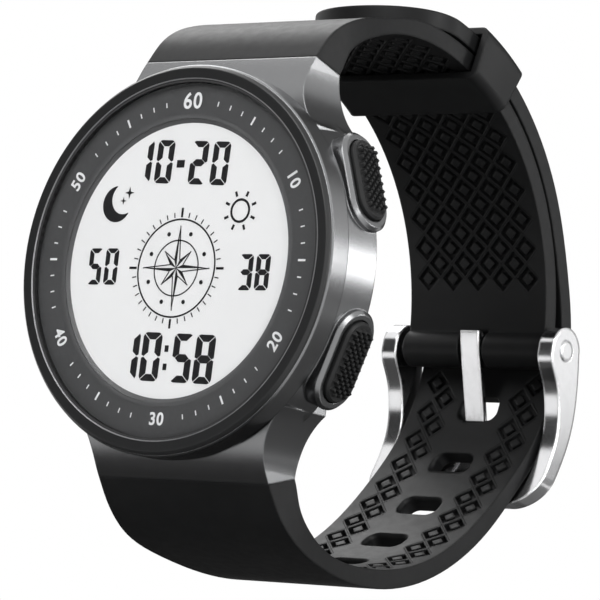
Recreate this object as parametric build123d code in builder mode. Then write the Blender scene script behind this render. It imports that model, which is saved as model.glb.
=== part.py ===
"""Digital wristwatch: round case with four pushers, and a buckled rubber strap.

Millimetres. +X points to 3 o'clock, +Z to 12 o'clock and +Y towards the wrist.
The origin is the centre of the case back's outer face. Heights are measured from
that face towards the dial, so a height h lies at Y = -h.
"""

from build123d import *
from math import cos, degrees, hypot, radians, sin, sqrt
import os

os.makedirs("parts", exist_ok=True)

# Clearances and one overrun for all cuts
running_gap = 0.06
seat_gap = 0.05
slide_gap = 0.15
overrun = 2.0
wire_sides = 6

# Case, along its axis
case_thickness = 13.0
bezel_radius = 24.0
bezel_stand = 0.6
bezel_chamfer = 0.35
rim_chamfer = 0.2
flank_depth = 3.7
middle_step = 0.5
middle_flare = 0.45
back_chamfer_depth = 2.7
back_chamfer_width = 2.05
back_face_height = 1.0
cavity_clearance = 0.2
dial_seat_depth = 1.9
bezel_spigot_wall = 0.8
bezel_width = 1.9

# Crystal, dial ring and display
crystal_recess = 0.15
crystal_thickness = 0.95
gasket_wall = 0.3
dial_ring_width = 5.2
dial_slope_width = 0.9
display_depth = 1.56
display_thickness = 1.1
display_lap = 0.8
display_glass_thickness = 0.5
glass_step = 0.4
backlight_inset = 1.5
backlight_thickness = 0.8

# Module
frame_clearance = 0.3
frame_wall = 1.6
frame_deck_depth = 6.0
frame_back_depth = 10.6
connector_inset = 3.4
connector_width = 1.8
connector_side_gap = 0.5
connector_end_gap = 0.54
board_thickness = 0.8
chip_height = 0.9
chip_draft = 20.0
quartz_can_radius = 0.9
battery_thickness = 3.2
battery_rim = 1.3
battery_gap = 0.2
clip_thickness = 0.25
buzzer_disc_thickness = 0.2
buzzer_ceramic_share = 0.7
buzzer_spring_radius = 0.9
buzzer_spring_wire = 0.3
buzzer_spring_turns = 4
cushion_width = 1.4

# Sizes and places on the board, as shares of its radius
chip_width_share = 0.3135
quartz_can_length_share = 0.351
quartz_can_offset_share = 0.8276
battery_radius_share = 0.627
battery_offset_share = 0.1254
clip_width_share = 0.376
buzzer_radius_share = 0.7524
buzzer_spring_across_share = 0.47
buzzer_spring_rise_share = 0.4389

# Case back
lid_thickness = 1.4
lid_ledge = 0.8
lid_gasket_inset = 0.7
lid_gasket_wire_radius = 0.33
lid_gasket_groove_gap = 0.07
screw_inset = 1.05
screw_count = 4
screw_angle = 45.0
screw_head_radius = 0.85
screw_head_height = 0.5
screw_shank_radius = 0.45
screw_length = 3.2
screw_slot_width = 0.3
screw_slot_depth = 0.25

# Pushers
pusher_angle = 26.2
pusher_turn = 6.7
pusher_stand = 0.68
pusher_depth = 8.04
boss_half_length = 6.32
boss_half_width = 3.48
boss_root = 4.0
boss_bevel = 0.4
bevel_slope = 45.0
cap_half_length = 5.12
cap_half_width = 2.36
cap_height = 0.65
cap_skirt = 1.2
cap_edge = 0.3
cap_edge_slope = 40.0
cap_recess = 2.4
stud_pitch = 1.0
stud_width = 0.6
stud_height = 0.5
stud_draft = 16.0
stud_turn = 45.0
stem_radius = 1.1
stem_seal_radius = 0.68
stem_inside = 1.39
spring_recess = 4.0
pusher_spring_radius = 1.55
pusher_spring_wire = 0.26
pusher_spring_turns = 4
seal_wire_radius = 0.22
seal_place = 5.2
pusher_clip_radius = 1.9
pusher_clip_thickness = 0.3
pusher_clip_neck = 0.78
pusher_clip_slot = 1.0
pusher_travel = 0.9
blade_thickness = 0.2
blade_width = 2.2
blade_reach = 2.9
blade_foot = 1.2
blade_gap = 0.12

# Lugs and spring bars
lug_half_width = 13.35
lug_end_height = 6.1
lug_end_stand = 1.97
lug_wrist_height = 1.2
lug_wrist_stand = 0.7
lug_flare_stand = 0.4
lug_foot_inset = 0.1
lug_foot_angle = 45.34
hood_start_inset = 7.0
hood_end_slope = 34.6
lug_wall = 4.35
tab_radius = 1.6
tab_height = 3.8
tab_inset = 1.97
bar_radius = 0.75
bar_bore_radius = 0.78
bar_tip_radius = 0.42
bar_tip_length = 1.1

# Strap loop
loop_centre_depth = 17.9
loop_centre_rise = 0.2
loop_stand = 7.17
upper_thickness = 2.3
layer_gap = 0.45
lower_thickness = 2.15
strap_half_width = 11.0
taper_end_depth = 27.0
crown_angle = 90.0

# Buckle, keeper and holes
pin_angle = -1.5
pin_radius = 0.85
pin_head_radius = 1.3
pin_head_height = 0.7
pin_head_stand = 0.15
roll_radius = 2.5
tongue_slot_half_width = 2.0
arm_gap = 0.6
arm_width = 2.3
arm_boss_radius = 3.1
bow_reach_share = 0.6457
bow_width = 8.0
bow_tilt = -6.5
bow_corner_radius = 4.4
window_corner_radius = 2.2
bow_gap = 0.3
bow_end_angle = -40.0
tongue_half_width = 1.45
tongue_thickness = 1.0
tongue_eye_radius = 2.31
tongue_tip_angle = -30.6
tongue_gap = 0.28
tongue_hole_angle = -13.5
hole_pitch_angle = 14.8
holes_ahead = 4
holes_behind = 4
hole_half_width = 2.95
hole_half_length = 1.65
hole_corner_radius = 1.2
hole_bevel = 0.45
hole_bevel_depth = 0.8
hole_bevel_angle = 29.4
tip_angle = 90.5
tip_length_share = 0.7
pocket_side = 2.4
pocket_depth = 0.6
island_side = 1.2
pocket_turn = 45.0
pocket_pitch = 4.05
pocket_margin = 1.1
upper_pocket_first_angle = 14.5
upper_pocket_last_angle = 92.0
lower_pocket_first_angle = -8.0
lower_pocket_last_angle = -86.0
keeper_angle = 65.8
keeper_length = 8.4
slot_end_angle = -22.8
keeper_wall = 1.0
keeper_gap = 0.3
keeper_side_gap = 0.6
keeper_corner_radius = 1.3

# Places that follow from the sizes above
bezel_height = case_thickness
bezel_inner_radius = bezel_radius - bezel_width
dial_window_radius = bezel_inner_radius - dial_ring_width
display_radius = dial_window_radius + display_lap
cavity_radius = display_radius + cavity_clearance
backlight_radius = display_radius - backlight_inset
frame_radius = cavity_radius - frame_clearance
frame_inner_radius = frame_radius - frame_wall
board_radius = frame_inner_radius - seat_gap
chip_width = chip_width_share * board_radius
quartz_can_length = quartz_can_length_share * board_radius
quartz_can_offset = quartz_can_offset_share * board_radius
battery_radius = battery_radius_share * board_radius
battery_offset = battery_offset_share * board_radius
clip_width = clip_width_share * board_radius
buzzer_radius = buzzer_radius_share * board_radius
connector_offset = frame_radius - connector_inset
connector_outer = connector_offset + connector_width / 2
connector_length = 2 * (sqrt(frame_radius**2 - connector_outer**2) - connector_end_gap)
backlight_flat = connector_offset - connector_width / 2 - connector_side_gap
rim_height = case_thickness - bezel_stand
flank_foot_height = case_thickness - flank_depth
dial_seat_height = case_thickness - dial_seat_depth
crystal_top = case_thickness - crystal_recess
crystal_bottom = crystal_top - crystal_thickness
display_top = case_thickness - display_depth
display_bottom = display_top - display_thickness
deck_height = case_thickness - frame_deck_depth
frame_back_height = case_thickness - frame_back_depth
spigot_radius = bezel_inner_radius + bezel_spigot_wall
bore_radius = spigot_radius + seat_gap
pusher_height = case_thickness - pusher_depth
middle_front_radius = bezel_radius - middle_step
middle_back_radius = middle_front_radius + middle_flare
chamfer_height = back_face_height + back_chamfer_depth
back_rim_radius = middle_back_radius - back_chamfer_width
lid_radius = back_rim_radius - lid_ledge
lid_gasket_radius = cavity_radius + lid_gasket_inset
screw_circle_radius = lid_radius - screw_inset
pusher_centre_radius = bezel_radius + pusher_stand
pusher_plane_distance = pusher_centre_radius * cos(radians(pusher_turn))
stem_end = pusher_plane_distance - cavity_radius + stem_inside
lug_end_reach = bezel_radius + lug_end_stand
lug_wrist_reach = bezel_radius + lug_wrist_stand
lug_flare_reach = bezel_radius + lug_flare_stand
hood_start_reach = bezel_radius - hood_start_inset
lug_foot_radius = bezel_radius - lug_foot_inset
lug_foot_width = lug_foot_radius * cos(radians(lug_foot_angle))
lug_foot_reach = lug_foot_radius * sin(radians(lug_foot_angle))
tab_half_width = lug_half_width - lug_wall
tab_reach = lug_end_reach - tab_inset
loop_radius = lug_end_reach + loop_stand
layer_step = upper_thickness + layer_gap
arm_inner_half_width = strap_half_width + arm_gap
bow_reach = bow_reach_share * loop_radius
loop_centre = (0, loop_centre_depth, loop_centre_rise)
loop_axis = Axis(loop_centre, (1, 0, 0))


def dial(height):
    """Plane at a height above the case back, facing out of the dial."""
    return Plane(origin=(0, -height, 0), x_dir=(1, 0, 0), z_dir=(0, -1, 0))


def turned(points):
    """Closed outline of (radius, height) points, ready to spin about the watch's axis."""
    with BuildSketch(Plane.XY) as outline:
        with BuildLine():
            Polyline(*[(radius, -height) for radius, height in points], close=True)
        make_face()
    return outline.sketch


def ring(inner, outer, low, high):
    """Rectangular ring section between two radii and two heights."""
    return turned([(inner, low), (outer, low), (outer, high), (inner, high)])


def loop_point(radius, angle):
    """Point of the strap loop in the side plane, at a radius and an angle about its centre."""
    turn = radians(angle)
    return (loop_centre_depth + radius * cos(turn), loop_centre_rise + radius * sin(turn))


def skin(radius, angle):
    """Plane lying on the strap loop, facing away from the loop's centre."""
    turn = radians(angle)
    y, z = loop_point(radius, angle)
    return Plane(origin=(0, y, z), x_dir=(1, 0, 0), z_dir=(0, cos(turn), sin(turn)))


def section(angle):
    """Plane across the strap loop at an angle: local y runs outwards from the loop's centre."""
    turn = radians(angle)
    return Plane(origin=loop_centre, x_dir=(1, 0, 0), z_dir=(0, -sin(turn), cos(turn)))


def pusher_plane(side, end, rise=0):
    """Plane on a pusher boss's face, facing outwards, with local y towards the dial.

    side is +1 at 3 o'clock and end is +1 at 12 o'clock.
    """
    place = radians(pusher_angle)
    facing = radians(pusher_angle - pusher_turn)
    normal = (side * cos(facing), 0, end * sin(facing))
    centre = (
        side * pusher_centre_radius * cos(place) + rise * normal[0],
        -pusher_height,
        end * pusher_centre_radius * sin(place) + rise * normal[2],
    )
    return Plane(
        origin=centre,
        x_dir=(-end * sin(facing), 0, side * cos(facing)),
        z_dir=normal,
    )


pushers = {
    "pusher_light": (-1, 1),
    "pusher_mode": (-1, -1),
    "pusher_start": (1, 1),
    "pusher_reset": (1, -1),
}


def finish(piece, name):
    """Label a finished piece and write it under its own name."""
    piece.part.label = name
    export_step(piece.part, f"parts/{name}.step")


# Lugs: a hooded block across the case at 12 and 6 o'clock, flared into its sides
with BuildPart() as lugs:
    with BuildSketch(dial(back_face_height)):
        with BuildLine():
            foot = (lug_foot_width, lug_foot_reach)
            edge = (lug_half_width, lug_flare_reach)
            end = (lug_half_width, lug_end_reach + overrun)
            TangentArc(edge, foot, tangent=(0, -1))
            Line(edge, end)
            Line(end, (0, lug_end_reach + overrun))
            Line((0, lug_end_reach + overrun), (0, 0))
            Line((0, 0), (lug_foot_width, 0))
            Line((lug_foot_width, 0), foot)
        make_face()
        mirror(about=Plane.YZ)
        mirror(about=Plane.XZ)
    extrude(amount=flank_foot_height - back_face_height)
    with BuildSketch(Plane.YZ):
        with BuildLine():
            hood_start = (-flank_foot_height, hood_start_reach)
            hood_end = (-lug_end_height, lug_end_reach)
            slope = radians(hood_end_slope)
            TangentArc(hood_end, hood_start, tangent=(-sin(slope), -cos(slope)))
            Polyline(hood_end, (-lug_wrist_height, lug_wrist_reach), (-back_face_height, back_rim_radius))
            Polyline((-back_face_height, back_rim_radius), (-back_face_height, 0), (-flank_foot_height, 0))
            Line((-flank_foot_height, 0), hood_start)
        make_face()
        mirror(about=Plane.XZ)
    extrude(amount=lug_foot_width + overrun, both=True, mode=Mode.INTERSECT)

# Case body: round middle, flank, lugs and pusher bosses round one stepped bore
with BuildPart() as case_body:
    revolve(
        turned(
            [
                (0, back_face_height),
                (back_rim_radius, back_face_height),
                (middle_back_radius, chamfer_height),
                (middle_front_radius, flank_foot_height),
                (bezel_radius, flank_foot_height),
                (bezel_radius, rim_height - rim_chamfer),
                (bezel_radius - rim_chamfer, rim_height),
                (0, rim_height),
            ]
        ),
        axis=Axis.Y,
    )
    add(lugs.part)
    for side, end in pushers.values():
        with BuildSketch(pusher_plane(side, end, -boss_bevel)):
            SlotOverall(2 * boss_half_length, 2 * boss_half_width)
        extrude(amount=boss_bevel, taper=bevel_slope)
        with BuildSketch(pusher_plane(side, end, -boss_bevel)):
            SlotOverall(2 * boss_half_length, 2 * boss_half_width)
        extrude(amount=boss_bevel - boss_root)
    revolve(ring(0, bore_radius, dial_seat_height, rim_height + overrun), axis=Axis.Y, mode=Mode.SUBTRACT)
    revolve(ring(0, cavity_radius, back_face_height - overrun, rim_height), axis=Axis.Y, mode=Mode.SUBTRACT)
    revolve(
        ring(0, lid_radius + seat_gap, back_face_height - overrun, lid_thickness),
        axis=Axis.Y,
        mode=Mode.SUBTRACT,
    )
    groove = lid_gasket_wire_radius + lid_gasket_groove_gap
    revolve(
        ring(
            lid_gasket_radius - groove,
            lid_gasket_radius + groove,
            back_face_height,
            lid_thickness + 2 * lid_gasket_wire_radius,
        ),
        axis=Axis.Y,
        mode=Mode.SUBTRACT,
    )
    with BuildSketch(dial(lid_thickness)):
        with PolarLocations(screw_circle_radius, screw_count, start_angle=screw_angle):
            Circle(screw_shank_radius)
    extrude(amount=screw_length, mode=Mode.SUBTRACT)
    for side, end in pushers.values():
        with BuildSketch(pusher_plane(side, end)):
            SlotOverall(2 * (cap_half_length + slide_gap), 2 * (cap_half_width + slide_gap))
        extrude(amount=-cap_recess, mode=Mode.SUBTRACT)
        with BuildSketch(pusher_plane(side, end)):
            Circle(pusher_spring_radius + pusher_spring_wire)
        extrude(amount=-spring_recess, mode=Mode.SUBTRACT)
        with BuildSketch(pusher_plane(side, end)):
            Circle(stem_radius + running_gap)
        extrude(amount=-(stem_end + overrun), mode=Mode.SUBTRACT)
        with BuildSketch(pusher_plane(side, end, cavity_radius - pusher_plane_distance)):
            Circle(pusher_clip_radius + slide_gap)
        extrude(amount=-overrun, mode=Mode.SUBTRACT)
    for end in (1, -1):
        pocket_ceiling = tab_height + tab_radius + slide_gap
        pocket_wall = tab_reach - tab_radius - slide_gap
        with BuildSketch(dial(back_face_height - overrun)):
            with Locations((0, end * (pocket_wall + lug_end_reach + overrun) / 2)):
                Rectangle(2 * (tab_half_width + slide_gap), lug_end_reach + overrun - pocket_wall)
        extrude(amount=pocket_ceiling - back_face_height + overrun, mode=Mode.SUBTRACT)
        with BuildSketch(Plane.YZ):
            with Locations((-tab_height, end * tab_reach)):
                Circle(bar_tip_radius + seat_gap)
        extrude(
            amount=tab_half_width + slide_gap + bar_tip_length,
            both=True,
            mode=Mode.SUBTRACT,
        )
finish(case_body, "case_body")

# Bezel ring: flat black ring with a spigot in the case bore
with BuildPart() as bezel_ring:
    revolve(
        turned(
            [
                (bezel_inner_radius, dial_seat_height),
                (spigot_radius, dial_seat_height),
                (spigot_radius, rim_height),
                (bezel_radius - rim_chamfer, rim_height),
                (bezel_radius - rim_chamfer, bezel_height - bezel_chamfer),
                (bezel_radius - rim_chamfer - bezel_chamfer, bezel_height),
                (bezel_inner_radius, bezel_height),
            ]
        ),
        axis=Axis.Y,
    )
finish(bezel_ring, "bezel_ring")

# Crystal and the gasket round it
crystal_radius = bezel_inner_radius - gasket_wall
with BuildPart() as crystal:
    revolve(ring(0, crystal_radius, crystal_bottom, crystal_top), axis=Axis.Y)
finish(crystal, "crystal")

with BuildPart() as crystal_gasket:
    revolve(ring(crystal_radius, bezel_inner_radius, crystal_bottom, crystal_top), axis=Axis.Y)
finish(crystal_gasket, "crystal_gasket")

# Dial ring: flat printed flange with a sloped inner wall down to the display
with BuildPart() as dial_ring:
    slope_top = dial_window_radius + dial_slope_width
    dial_ring_outer = bezel_inner_radius - seat_gap
    revolve(
        turned(
            [
                (dial_window_radius, display_top),
                (slope_top, display_top),
                (slope_top + seat_gap, dial_seat_height),
                (dial_ring_outer, dial_seat_height),
                (dial_ring_outer, crystal_bottom),
                (slope_top, crystal_bottom),
            ]
        ),
        axis=Axis.Y,
    )
finish(dial_ring, "dial_ring")

# Display: a round front glass over a slightly smaller back glass
with BuildPart() as lcd_cell:
    glass_split = display_top - display_glass_thickness
    revolve(ring(0, display_radius, glass_split, display_top), axis=Axis.Y)
    revolve(ring(0, display_radius - glass_step, display_bottom, glass_split), axis=Axis.Y)
finish(lcd_cell, "lcd_cell")

# Backlight: light guide disc with a flat at each connector
with BuildPart() as backlight_panel:
    with BuildSketch(dial(display_bottom - backlight_thickness)):
        Circle(backlight_radius)
        Rectangle(2 * backlight_radius, 2 * backlight_flat, mode=Mode.INTERSECT)
    extrude(amount=backlight_thickness)
finish(backlight_panel, "backlight_panel")

# Module frame: deck between display and board, with a skirt round the battery
with BuildPart() as module_frame:
    revolve(ring(0, frame_radius, frame_back_height, display_bottom), axis=Axis.Y)
    revolve(
        ring(0, frame_inner_radius, frame_back_height - overrun, deck_height),
        axis=Axis.Y,
        mode=Mode.SUBTRACT,
    )
    with BuildSketch(dial(display_bottom - backlight_thickness)):
        Circle(backlight_radius + seat_gap)
        Rectangle(2 * frame_radius, 2 * (backlight_flat + seat_gap), mode=Mode.INTERSECT)
    extrude(amount=backlight_thickness + overrun, mode=Mode.SUBTRACT)
    with BuildSketch(dial(deck_height - overrun)):
        with GridLocations(0, 2 * connector_offset, 1, 2):
            Rectangle(connector_length + 2 * seat_gap, connector_width + 2 * seat_gap)
    extrude(amount=display_bottom - deck_height + 2 * overrun, mode=Mode.SUBTRACT)
    for side, end in pushers.values():
        with BuildSketch(pusher_plane(side, end, frame_inner_radius - overrun - pusher_plane_distance)):
            notch_low = pusher_height - frame_back_height + overrun
            notch_high = deck_height - pusher_height
            with Locations((0, (notch_high - notch_low) / 2)):
                Rectangle(2 * (pusher_clip_radius + slide_gap + seat_gap), notch_low + notch_high)
        extrude(amount=frame_wall + 2 * overrun, mode=Mode.SUBTRACT)
finish(module_frame, "module_frame")

# Rubber connector strips that carry the display's contacts down to the board
with BuildPart() as connector_strips:
    with BuildSketch(dial(deck_height)):
        with GridLocations(0, 2 * connector_offset, 1, 2):
            Rectangle(connector_length, connector_width)
    extrude(amount=display_bottom - deck_height)
finish(connector_strips, "connector_strips")

# Circuit board, its coated chip and its quartz can
board_back = deck_height - board_thickness
with BuildPart() as circuit_board:
    revolve(ring(0, board_radius, board_back, deck_height), axis=Axis.Y)
finish(circuit_board, "circuit_board")

with BuildPart() as controller_chip:
    with BuildSketch(dial(board_back)):
        with Locations((0, battery_radius + chip_width / 2 + battery_gap - battery_offset)):
            RectangleRounded(2 * chip_width, chip_width, chip_width / 3)
    extrude(amount=-chip_height, taper=chip_draft)
finish(controller_chip, "controller_chip")

with BuildPart() as quartz_can:
    can_centre = Plane(
        origin=(-quartz_can_length / 2, quartz_can_radius - board_back, -quartz_can_offset),
        x_dir=(0, 1, 0),
        z_dir=(1, 0, 0),
    )
    with BuildSketch(can_centre):
        Circle(quartz_can_radius)
    extrude(amount=quartz_can_length)
finish(quartz_can, "quartz_can")

# Battery: coin cell with a smaller negative cap against the board
battery_top = board_back - battery_gap
battery_back = battery_top - battery_thickness
with BuildPart() as battery:
    with BuildSketch(dial(battery_back)):
        with Locations((0, -battery_offset)):
            Circle(battery_radius)
    extrude(amount=battery_thickness - clip_thickness)
    with BuildSketch(dial(battery_top - clip_thickness)):
        with Locations((0, -battery_offset)):
            Circle(battery_radius - battery_rim)
    extrude(amount=clip_thickness)
finish(battery, "battery")

# Battery clip: strap across the cell with a leg down to the board at each end
with BuildPart() as battery_clip:
    leg_inner = battery_radius + battery_gap
    with BuildSketch(Plane.XY.offset(-battery_offset)):
        with BuildLine():
            Polyline(
                (-leg_inner - clip_thickness, -board_back),
                (-leg_inner - clip_thickness, -battery_back + clip_thickness),
                (leg_inner + clip_thickness, -battery_back + clip_thickness),
                (leg_inner + clip_thickness, -board_back),
                (leg_inner, -board_back),
                (leg_inner, -battery_back),
                (-leg_inner, -battery_back),
                (-leg_inner, -board_back),
                close=True,
            )
        make_face()
    extrude(amount=clip_width / 2, both=True)
finish(battery_clip, "battery_clip")

# Sounder: brass disc with a ceramic face on the case back, and its contact spring
with BuildPart() as buzzer_disc:
    revolve(ring(0, buzzer_radius, lid_thickness, lid_thickness + buzzer_disc_thickness), axis=Axis.Y)
    revolve(
        ring(
            0,
            buzzer_radius * buzzer_ceramic_share,
            lid_thickness + buzzer_disc_thickness,
            lid_thickness + 2 * buzzer_disc_thickness,
        ),
        axis=Axis.Y,
    )
finish(buzzer_disc, "buzzer_disc")

# Case back with its gasket and screws
with BuildPart() as case_back:
    revolve(ring(0, lid_radius, 0, lid_thickness), axis=Axis.Y)
    with BuildSketch(dial(0)):
        with PolarLocations(screw_circle_radius, screw_count, start_angle=screw_angle):
            Circle(screw_head_radius + seat_gap)
    extrude(amount=screw_head_height + seat_gap, mode=Mode.SUBTRACT)
    with BuildSketch(dial(0)):
        with PolarLocations(screw_circle_radius, screw_count, start_angle=screw_angle):
            Circle(screw_shank_radius + seat_gap)
    extrude(amount=lid_thickness, mode=Mode.SUBTRACT)
finish(case_back, "case_back")

with BuildPart() as case_back_gasket:
    with BuildSketch(Plane.XY):
        with Locations((lid_gasket_radius, -lid_thickness - lid_gasket_wire_radius)):
            RegularPolygon(lid_gasket_wire_radius, wire_sides)
    revolve(axis=Axis.Y)
finish(case_back_gasket, "case_back_gasket")

with BuildPart() as case_back_screws:
    head_base = seat_gap + screw_head_height
    with BuildSketch(dial(seat_gap)):
        with PolarLocations(screw_circle_radius, screw_count, start_angle=screw_angle):
            Circle(screw_head_radius)
    extrude(amount=screw_head_height)
    with BuildSketch(dial(head_base)):
        with PolarLocations(screw_circle_radius, screw_count, start_angle=screw_angle):
            Circle(screw_shank_radius)
    extrude(amount=screw_length)
    with BuildSketch(dial(seat_gap)):
        with PolarLocations(screw_circle_radius, screw_count, start_angle=screw_angle):
            Rectangle(2 * screw_head_radius, screw_slot_width, mode=Mode.ADD)
            Rectangle(screw_slot_width, 2 * screw_head_radius, mode=Mode.ADD)
    extrude(amount=screw_slot_depth, mode=Mode.SUBTRACT)
finish(case_back_screws, "case_back_screws")


def stud_places():
    """Centres of the studs that fit whole on a pusher cap, in staggered rows along it."""
    margin = (cap_edge + sqrt(2) * stud_width) / 2
    half_width = cap_half_width - margin
    straight = cap_half_length - cap_half_width
    rows = int(2 * half_width / stud_pitch)
    places = []
    for row in range(-rows, rows + 1):
        across = row * stud_pitch / 2
        half_length = straight + sqrt(half_width**2 - across**2)
        shift = stud_pitch / 2 if row % 2 else 0
        steps = int((half_length + shift) / stud_pitch)
        along = [step * stud_pitch - shift for step in range(-steps, steps + 1)]
        places += [(place, across) for place in along if abs(place) <= half_length]
    return places


# Pushers: studded cap on a stem with a seal groove and a clip neck
clip_place = pusher_plane_distance - cavity_radius + seat_gap
for name, (side, end) in pushers.items():
    with BuildPart() as pusher:
        with BuildSketch(pusher_plane(side, end, -cap_skirt)):
            SlotOverall(2 * cap_half_length, 2 * cap_half_width)
        extrude(amount=cap_skirt + cap_height - cap_edge)
        with BuildSketch(pusher_plane(side, end, cap_height - cap_edge)):
            SlotOverall(2 * cap_half_length, 2 * cap_half_width)
        extrude(amount=cap_edge, taper=cap_edge_slope)
        with BuildSketch(pusher_plane(side, end, cap_height)):
            with Locations(*stud_places()):
                Rectangle(stud_width, stud_width, rotation=stud_turn)
        extrude(amount=stud_height, taper=stud_draft)
        with BuildSketch(pusher_plane(side, end, -cap_skirt)):
            Circle(stem_radius)
        extrude(amount=cap_skirt - stem_end)
        with BuildSketch(pusher_plane(side, end, -seal_place)):
            Circle(stem_radius + overrun)
            Circle(stem_seal_radius, mode=Mode.SUBTRACT)
        extrude(amount=-2 * seal_wire_radius - seat_gap, mode=Mode.SUBTRACT)
        with BuildSketch(pusher_plane(side, end, -clip_place)):
            Circle(stem_radius + overrun)
            Circle(pusher_clip_neck, mode=Mode.SUBTRACT)
        extrude(amount=-pusher_clip_thickness, mode=Mode.SUBTRACT)
    finish(pusher, name)

    with BuildPart() as pusher_seal:
        seal_plane = pusher_plane(side, end, -seal_place - seal_wire_radius - seat_gap / 2)
        profile_plane = Plane(origin=seal_plane.origin, x_dir=seal_plane.x_dir, z_dir=(0, 1, 0))
        with BuildSketch(profile_plane):
            with Locations((stem_seal_radius + seal_wire_radius + seat_gap / 2, 0)):
                RegularPolygon(seal_wire_radius, wire_sides)
        revolve(axis=Axis(seal_plane.origin, seal_plane.z_dir))
    finish(pusher_seal, name.replace("pusher", "seal"))

    with BuildPart() as pusher_clip:
        with BuildSketch(pusher_plane(side, end, -clip_place)):
            Circle(pusher_clip_radius)
            Circle(pusher_clip_neck, mode=Mode.SUBTRACT)
            with Locations((0, -pusher_clip_radius)):
                Rectangle(pusher_clip_slot, 2 * pusher_clip_radius, mode=Mode.SUBTRACT)
        extrude(amount=-pusher_clip_thickness)
    finish(pusher_clip, name.replace("pusher", "clip"))

# Switch blades: four bent contacts on the board, one behind each pusher stem
with BuildPart() as switch_blades:
    for side, end in pushers.values():
        face = -stem_end - pusher_travel - blade_gap
        with BuildSketch(pusher_plane(side, end, face - blade_thickness)):
            blade_top = board_back - pusher_height
            with Locations((0, blade_top - blade_reach / 2)):
                Rectangle(blade_width, blade_reach)
        extrude(amount=blade_thickness)
        with BuildSketch(pusher_plane(side, end, face - blade_foot)):
            with Locations((0, blade_top - blade_thickness / 2)):
                Rectangle(blade_width, blade_thickness)
        extrude(amount=blade_foot)
finish(switch_blades, "switch_blades")

# Springs: a return spring round each pusher stem, and the sounder's contact spring
for name, (side, end) in pushers.items():
    with BuildPart() as pusher_spring:
        coil_room = spring_recess - cap_skirt - pusher_spring_wire - 2 * slide_gap
        coil_base = pusher_plane(side, end, slide_gap + pusher_spring_wire / 2 - spring_recess)
        with BuildLine():
            coil = Helix(
                coil_room / pusher_spring_turns,
                coil_room,
                pusher_spring_radius,
                center=coil_base.origin,
                direction=coil_base.z_dir,
            )
        with BuildSketch(Plane(origin=coil @ 0, z_dir=coil % 0)):
            RegularPolygon(pusher_spring_wire / 2, wire_sides)
        sweep(path=coil, is_frenet=True)
    finish(pusher_spring, name.replace("pusher", "spring"))

with BuildPart() as buzzer_spring:
    coil_foot = lid_thickness + buzzer_disc_thickness + buzzer_spring_wire / 2
    coil_room = board_back - coil_foot - buzzer_spring_wire / 2
    with BuildLine():
        coil = Helix(
            coil_room / buzzer_spring_turns,
            coil_room,
            buzzer_spring_radius,
            center=(
                buzzer_spring_across_share * board_radius,
                -coil_foot,
                buzzer_spring_rise_share * board_radius,
            ),
            direction=(0, -1, 0),
        )
    with BuildSketch(Plane(origin=coil @ 0, z_dir=coil % 0)):
        RegularPolygon(buzzer_spring_wire / 2, wire_sides)
    sweep(path=coil, is_frenet=True)
finish(buzzer_spring, "buzzer_spring")

# Module cushion: soft ring between the frame's back and the case back
with BuildPart() as module_cushion:
    revolve(
        ring(frame_radius - cushion_width, frame_radius, lid_thickness, frame_back_height),
        axis=Axis.Y,
    )
finish(module_cushion, "module_cushion")

# Spring bars: a tube through the strap's tab, with a thin tip in each lug
for name, end in {"spring_bar_upper": 1, "spring_bar_lower": -1}.items():
    with BuildPart() as spring_bar:
        with BuildSketch(Plane.YZ):
            with Locations((-tab_height, end * tab_reach)):
                Circle(bar_radius)
        extrude(amount=tab_half_width, both=True)
        with BuildSketch(Plane.YZ):
            with Locations((-tab_height, end * tab_reach)):
                Circle(bar_tip_radius)
        extrude(amount=tab_half_width + slide_gap + bar_tip_length - seat_gap, both=True)
    finish(spring_bar, name)

# Strap outlines in the side plane, as shares of the loop's radius. Their splines leave and
# meet their ends with an even pull
even_pull = (1, 1)
upper_outer_shares = ((-0.115, 0.878), (0.045, 0.975), (0.275, 1.033))
upper_inner_shares = ((0.302, 0.977), (0.142, 0.923), (0.009, 0.836))
lower_outer_shares = ((-0.124, -0.866), (-0.002, -0.969), (0.196, -1.038))
lower_inner_shares = ((0.284, -0.99), (0.112, -0.926), (0.012, -0.839))
rise_shares = {
    -90: 0.15,
    -75: 0.15,
    -60: 0.15,
    -45: 0.18,
    -34: 0.4,
    -25: 0.76,
    -16: 1.12,
    -8: 1.38,
    -1.5: 1.48,
    6: 1.36,
    14: 1.12,
    22: 1.01,
    30: 1.0,
}
thickness_shares = {-90: 1.12, -75: 1.12, -60: 1.12, -45: 1.12}


def loop_places(shares):
    """Side-plane points from shares of the loop's radius."""
    return [(y * loop_radius, z * loop_radius) for y, z in shares]


def lower_face(outer, gap=0):
    """Points along the lower strap from below the wrist to the layered run, at a gap from a face.

    outer is 1 for the outer face and 0 for the inner one.
    """
    places = []
    for angle, rise in rise_shares.items():
        thickness = lower_thickness * thickness_shares.get(angle, 1)
        places.append(loop_point(loop_radius + rise * layer_step + outer * thickness + gap, angle))
    return places


def tangent_at(angle):
    """Direction of rising angle along the loop, in the side plane."""
    turn = radians(angle)
    return (-sin(turn), cos(turn))


# Wrist-side face of the buckle's tongue, by angle, as shares of the loop's radius
tongue_shares = {
    2.3: 0.9505,
    -2.8: 0.969,
    -6.7: 0.996,
    -10.7: 1.0305,
    -14.6: 1.071,
    -18: 1.1144,
    -20.5: 1.149,
    -22.8: 1.159,
    -26: 1.145,
    tongue_tip_angle: 1.126,
}
tongue_face = [loop_point(share * loop_radius, angle) for angle, share in tongue_shares.items()]
tongue_back = [
    loop_point(share * loop_radius + tongue_thickness, angle)
    for angle, share in tongue_shares.items()
]
tongue_room = [
    loop_point(share * loop_radius - tongue_gap, angle)
    for angle, share in tongue_shares.items()
    if slot_end_angle <= angle < tongue_hole_angle
]


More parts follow.
